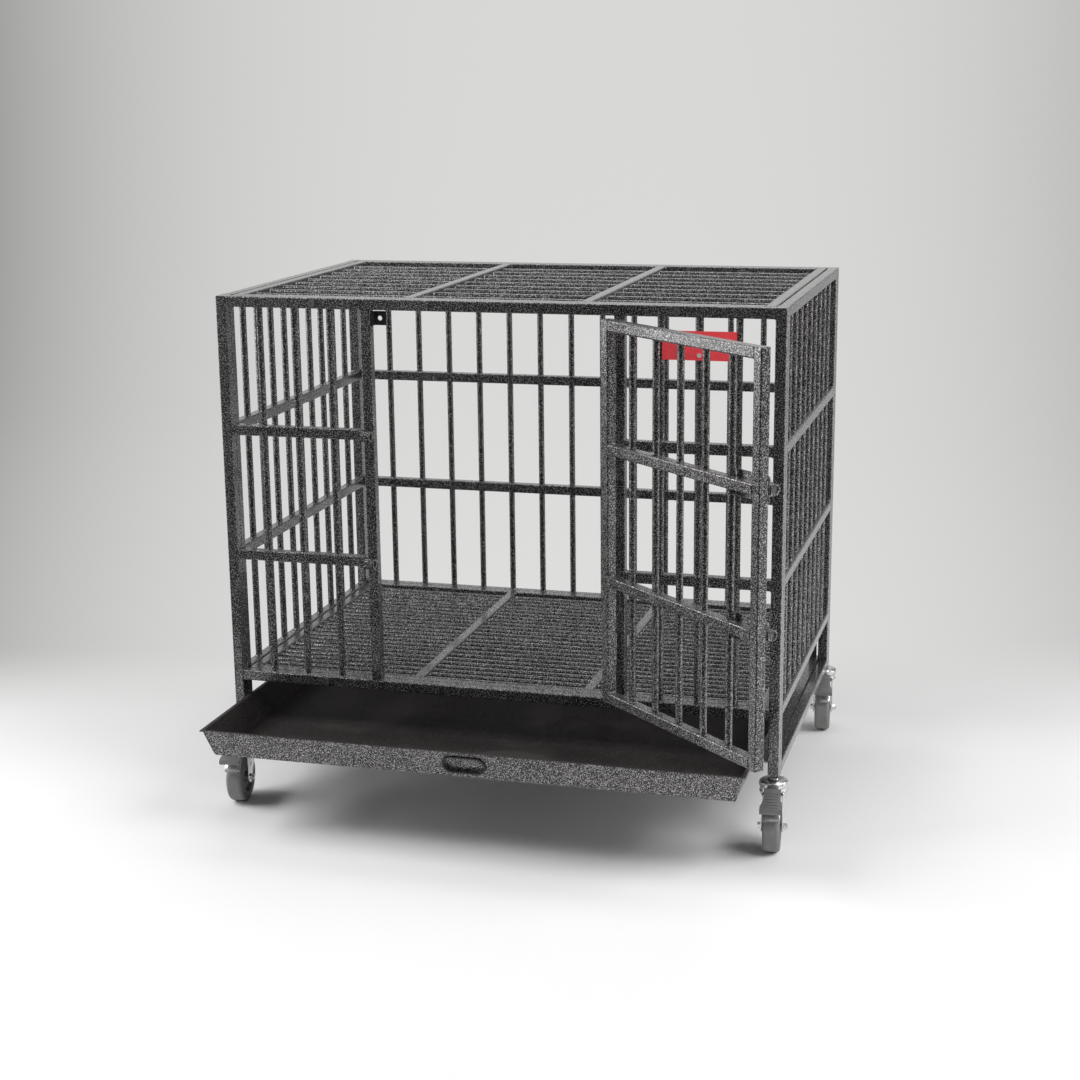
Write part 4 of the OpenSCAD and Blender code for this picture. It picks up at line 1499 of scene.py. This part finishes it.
    def build_world(self) -> None:
        """Lights the room weakly, and shows it pale."""
        world = bpy.data.worlds.new("room")
        bench = ShaderBench(world)
        power = self.room_power + bench.seen() * (self.room_seen - self.room_power)
        sockets = {"Color": (*self.room, 1.0), "Strength": power}
        bench.close(bench.node("ShaderNodeBackground", {}, sockets))
        bpy.context.scene.world = world

    def build_camera(self) -> None:
        """Stands the camera where the photograph was taken, turned, tipped and then rolled."""
        yaw, pitch, roll = (math.radians(a) for a in (self.yaw, self.pitch, self.roll))
        turn = Matrix.Rotation(-yaw, 4, "Z") @ Matrix.Rotation(math.pi / 2 + pitch, 4, "X")
        Workshop.clear()
        bpy.ops.object.camera_add()
        camera = Workshop.current()
        camera.name = "photo_camera"
        camera.matrix_world = Matrix.Translation(self.eye) @ turn @ Matrix.Rotation(roll, 4, "Z")
        camera.data.sensor_fit = "HORIZONTAL"
        camera.data.sensor_width = self.sensor
        camera.data.lens = self.lens
        camera.data.dof.use_dof = False
        bpy.context.scene.camera = camera

    def build(self) -> None:
        """Sets up the whole studio."""
        self.build_camera()
        self.build_paper()
        self.build_flags()
        self.build_world()
        for lamp in self.lamps:
            lamp.build()
        bpy.context.scene.view_settings.view_transform = "Standard"


@dataclass
class Crate:
    """The whole crate."""

    frame: dict[str, Any]
    swivel: Span = (530.0, 350.0)
    own_plating: dict[str, Plating] = field(
        default_factory=lambda: {
            "latch_bolt": Plating("latch_zinc", (0.17, 0.17, 0.175), (0.10, 0.10, 0.10), 0.34),
            "plate_rivets": Plating("rivet_zinc", (0.86, 0.86, 0.86), (0.74, 0.74, 0.73), 0.55),
        }
    )

    def dress_nodes(self, wardrobe: Wardrobe) -> None:
        """Dresses every CAD node but the tyres. Latch bolts and rivets have a plating of their own.

        Args:
            wardrobe: The finishes.
        """
        nodes = self.frame["nodes"]
        own = {start: finish.material() for start, finish in self.own_plating.items()}
        for row in self.frame["record"]["subparts"]:
            slot = Slot(row["material_slot"])
            special = [material for start, material in own.items() if row["node"].startswith(start)]
            if slot in wardrobe.materials:
                wardrobe.dress_node(nodes[row["node"]], (special + [wardrobe.materials[slot]])[0])

    def casters(self) -> Iterator[tuple[str, Span]]:
        """The casters' corners and swivel axes, front ones first."""
        for end, sign_y in (("front", -1), ("back", 1)):
            for side, sign_x in (("left", -1), ("right", 1)):
                yield f"{end}_{side}", (sign_x * self.swivel[0], sign_y * self.swivel[1])

    def build(self) -> None:
        """Builds the sub-assemblies in order."""
        nodes = self.frame["nodes"]
        wardrobe = Wardrobe()
        self.dress_nodes(wardrobe)
        WeldBeads(Tubing()).build(wardrobe)
        TrayPan().build(wardrobe)
        for corner, swivel in self.casters():
            Caster(corner, swivel).build(wardrobe, nodes)
        Fittings().build(wardrobe, nodes)


def main() -> None:
    """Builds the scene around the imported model."""
    logging.basicConfig(level=logging.INFO, format="%(message)s")
    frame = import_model()
    Studio().build()
    Crate(frame).build()
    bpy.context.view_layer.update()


if __name__ == "__main__":
    main()
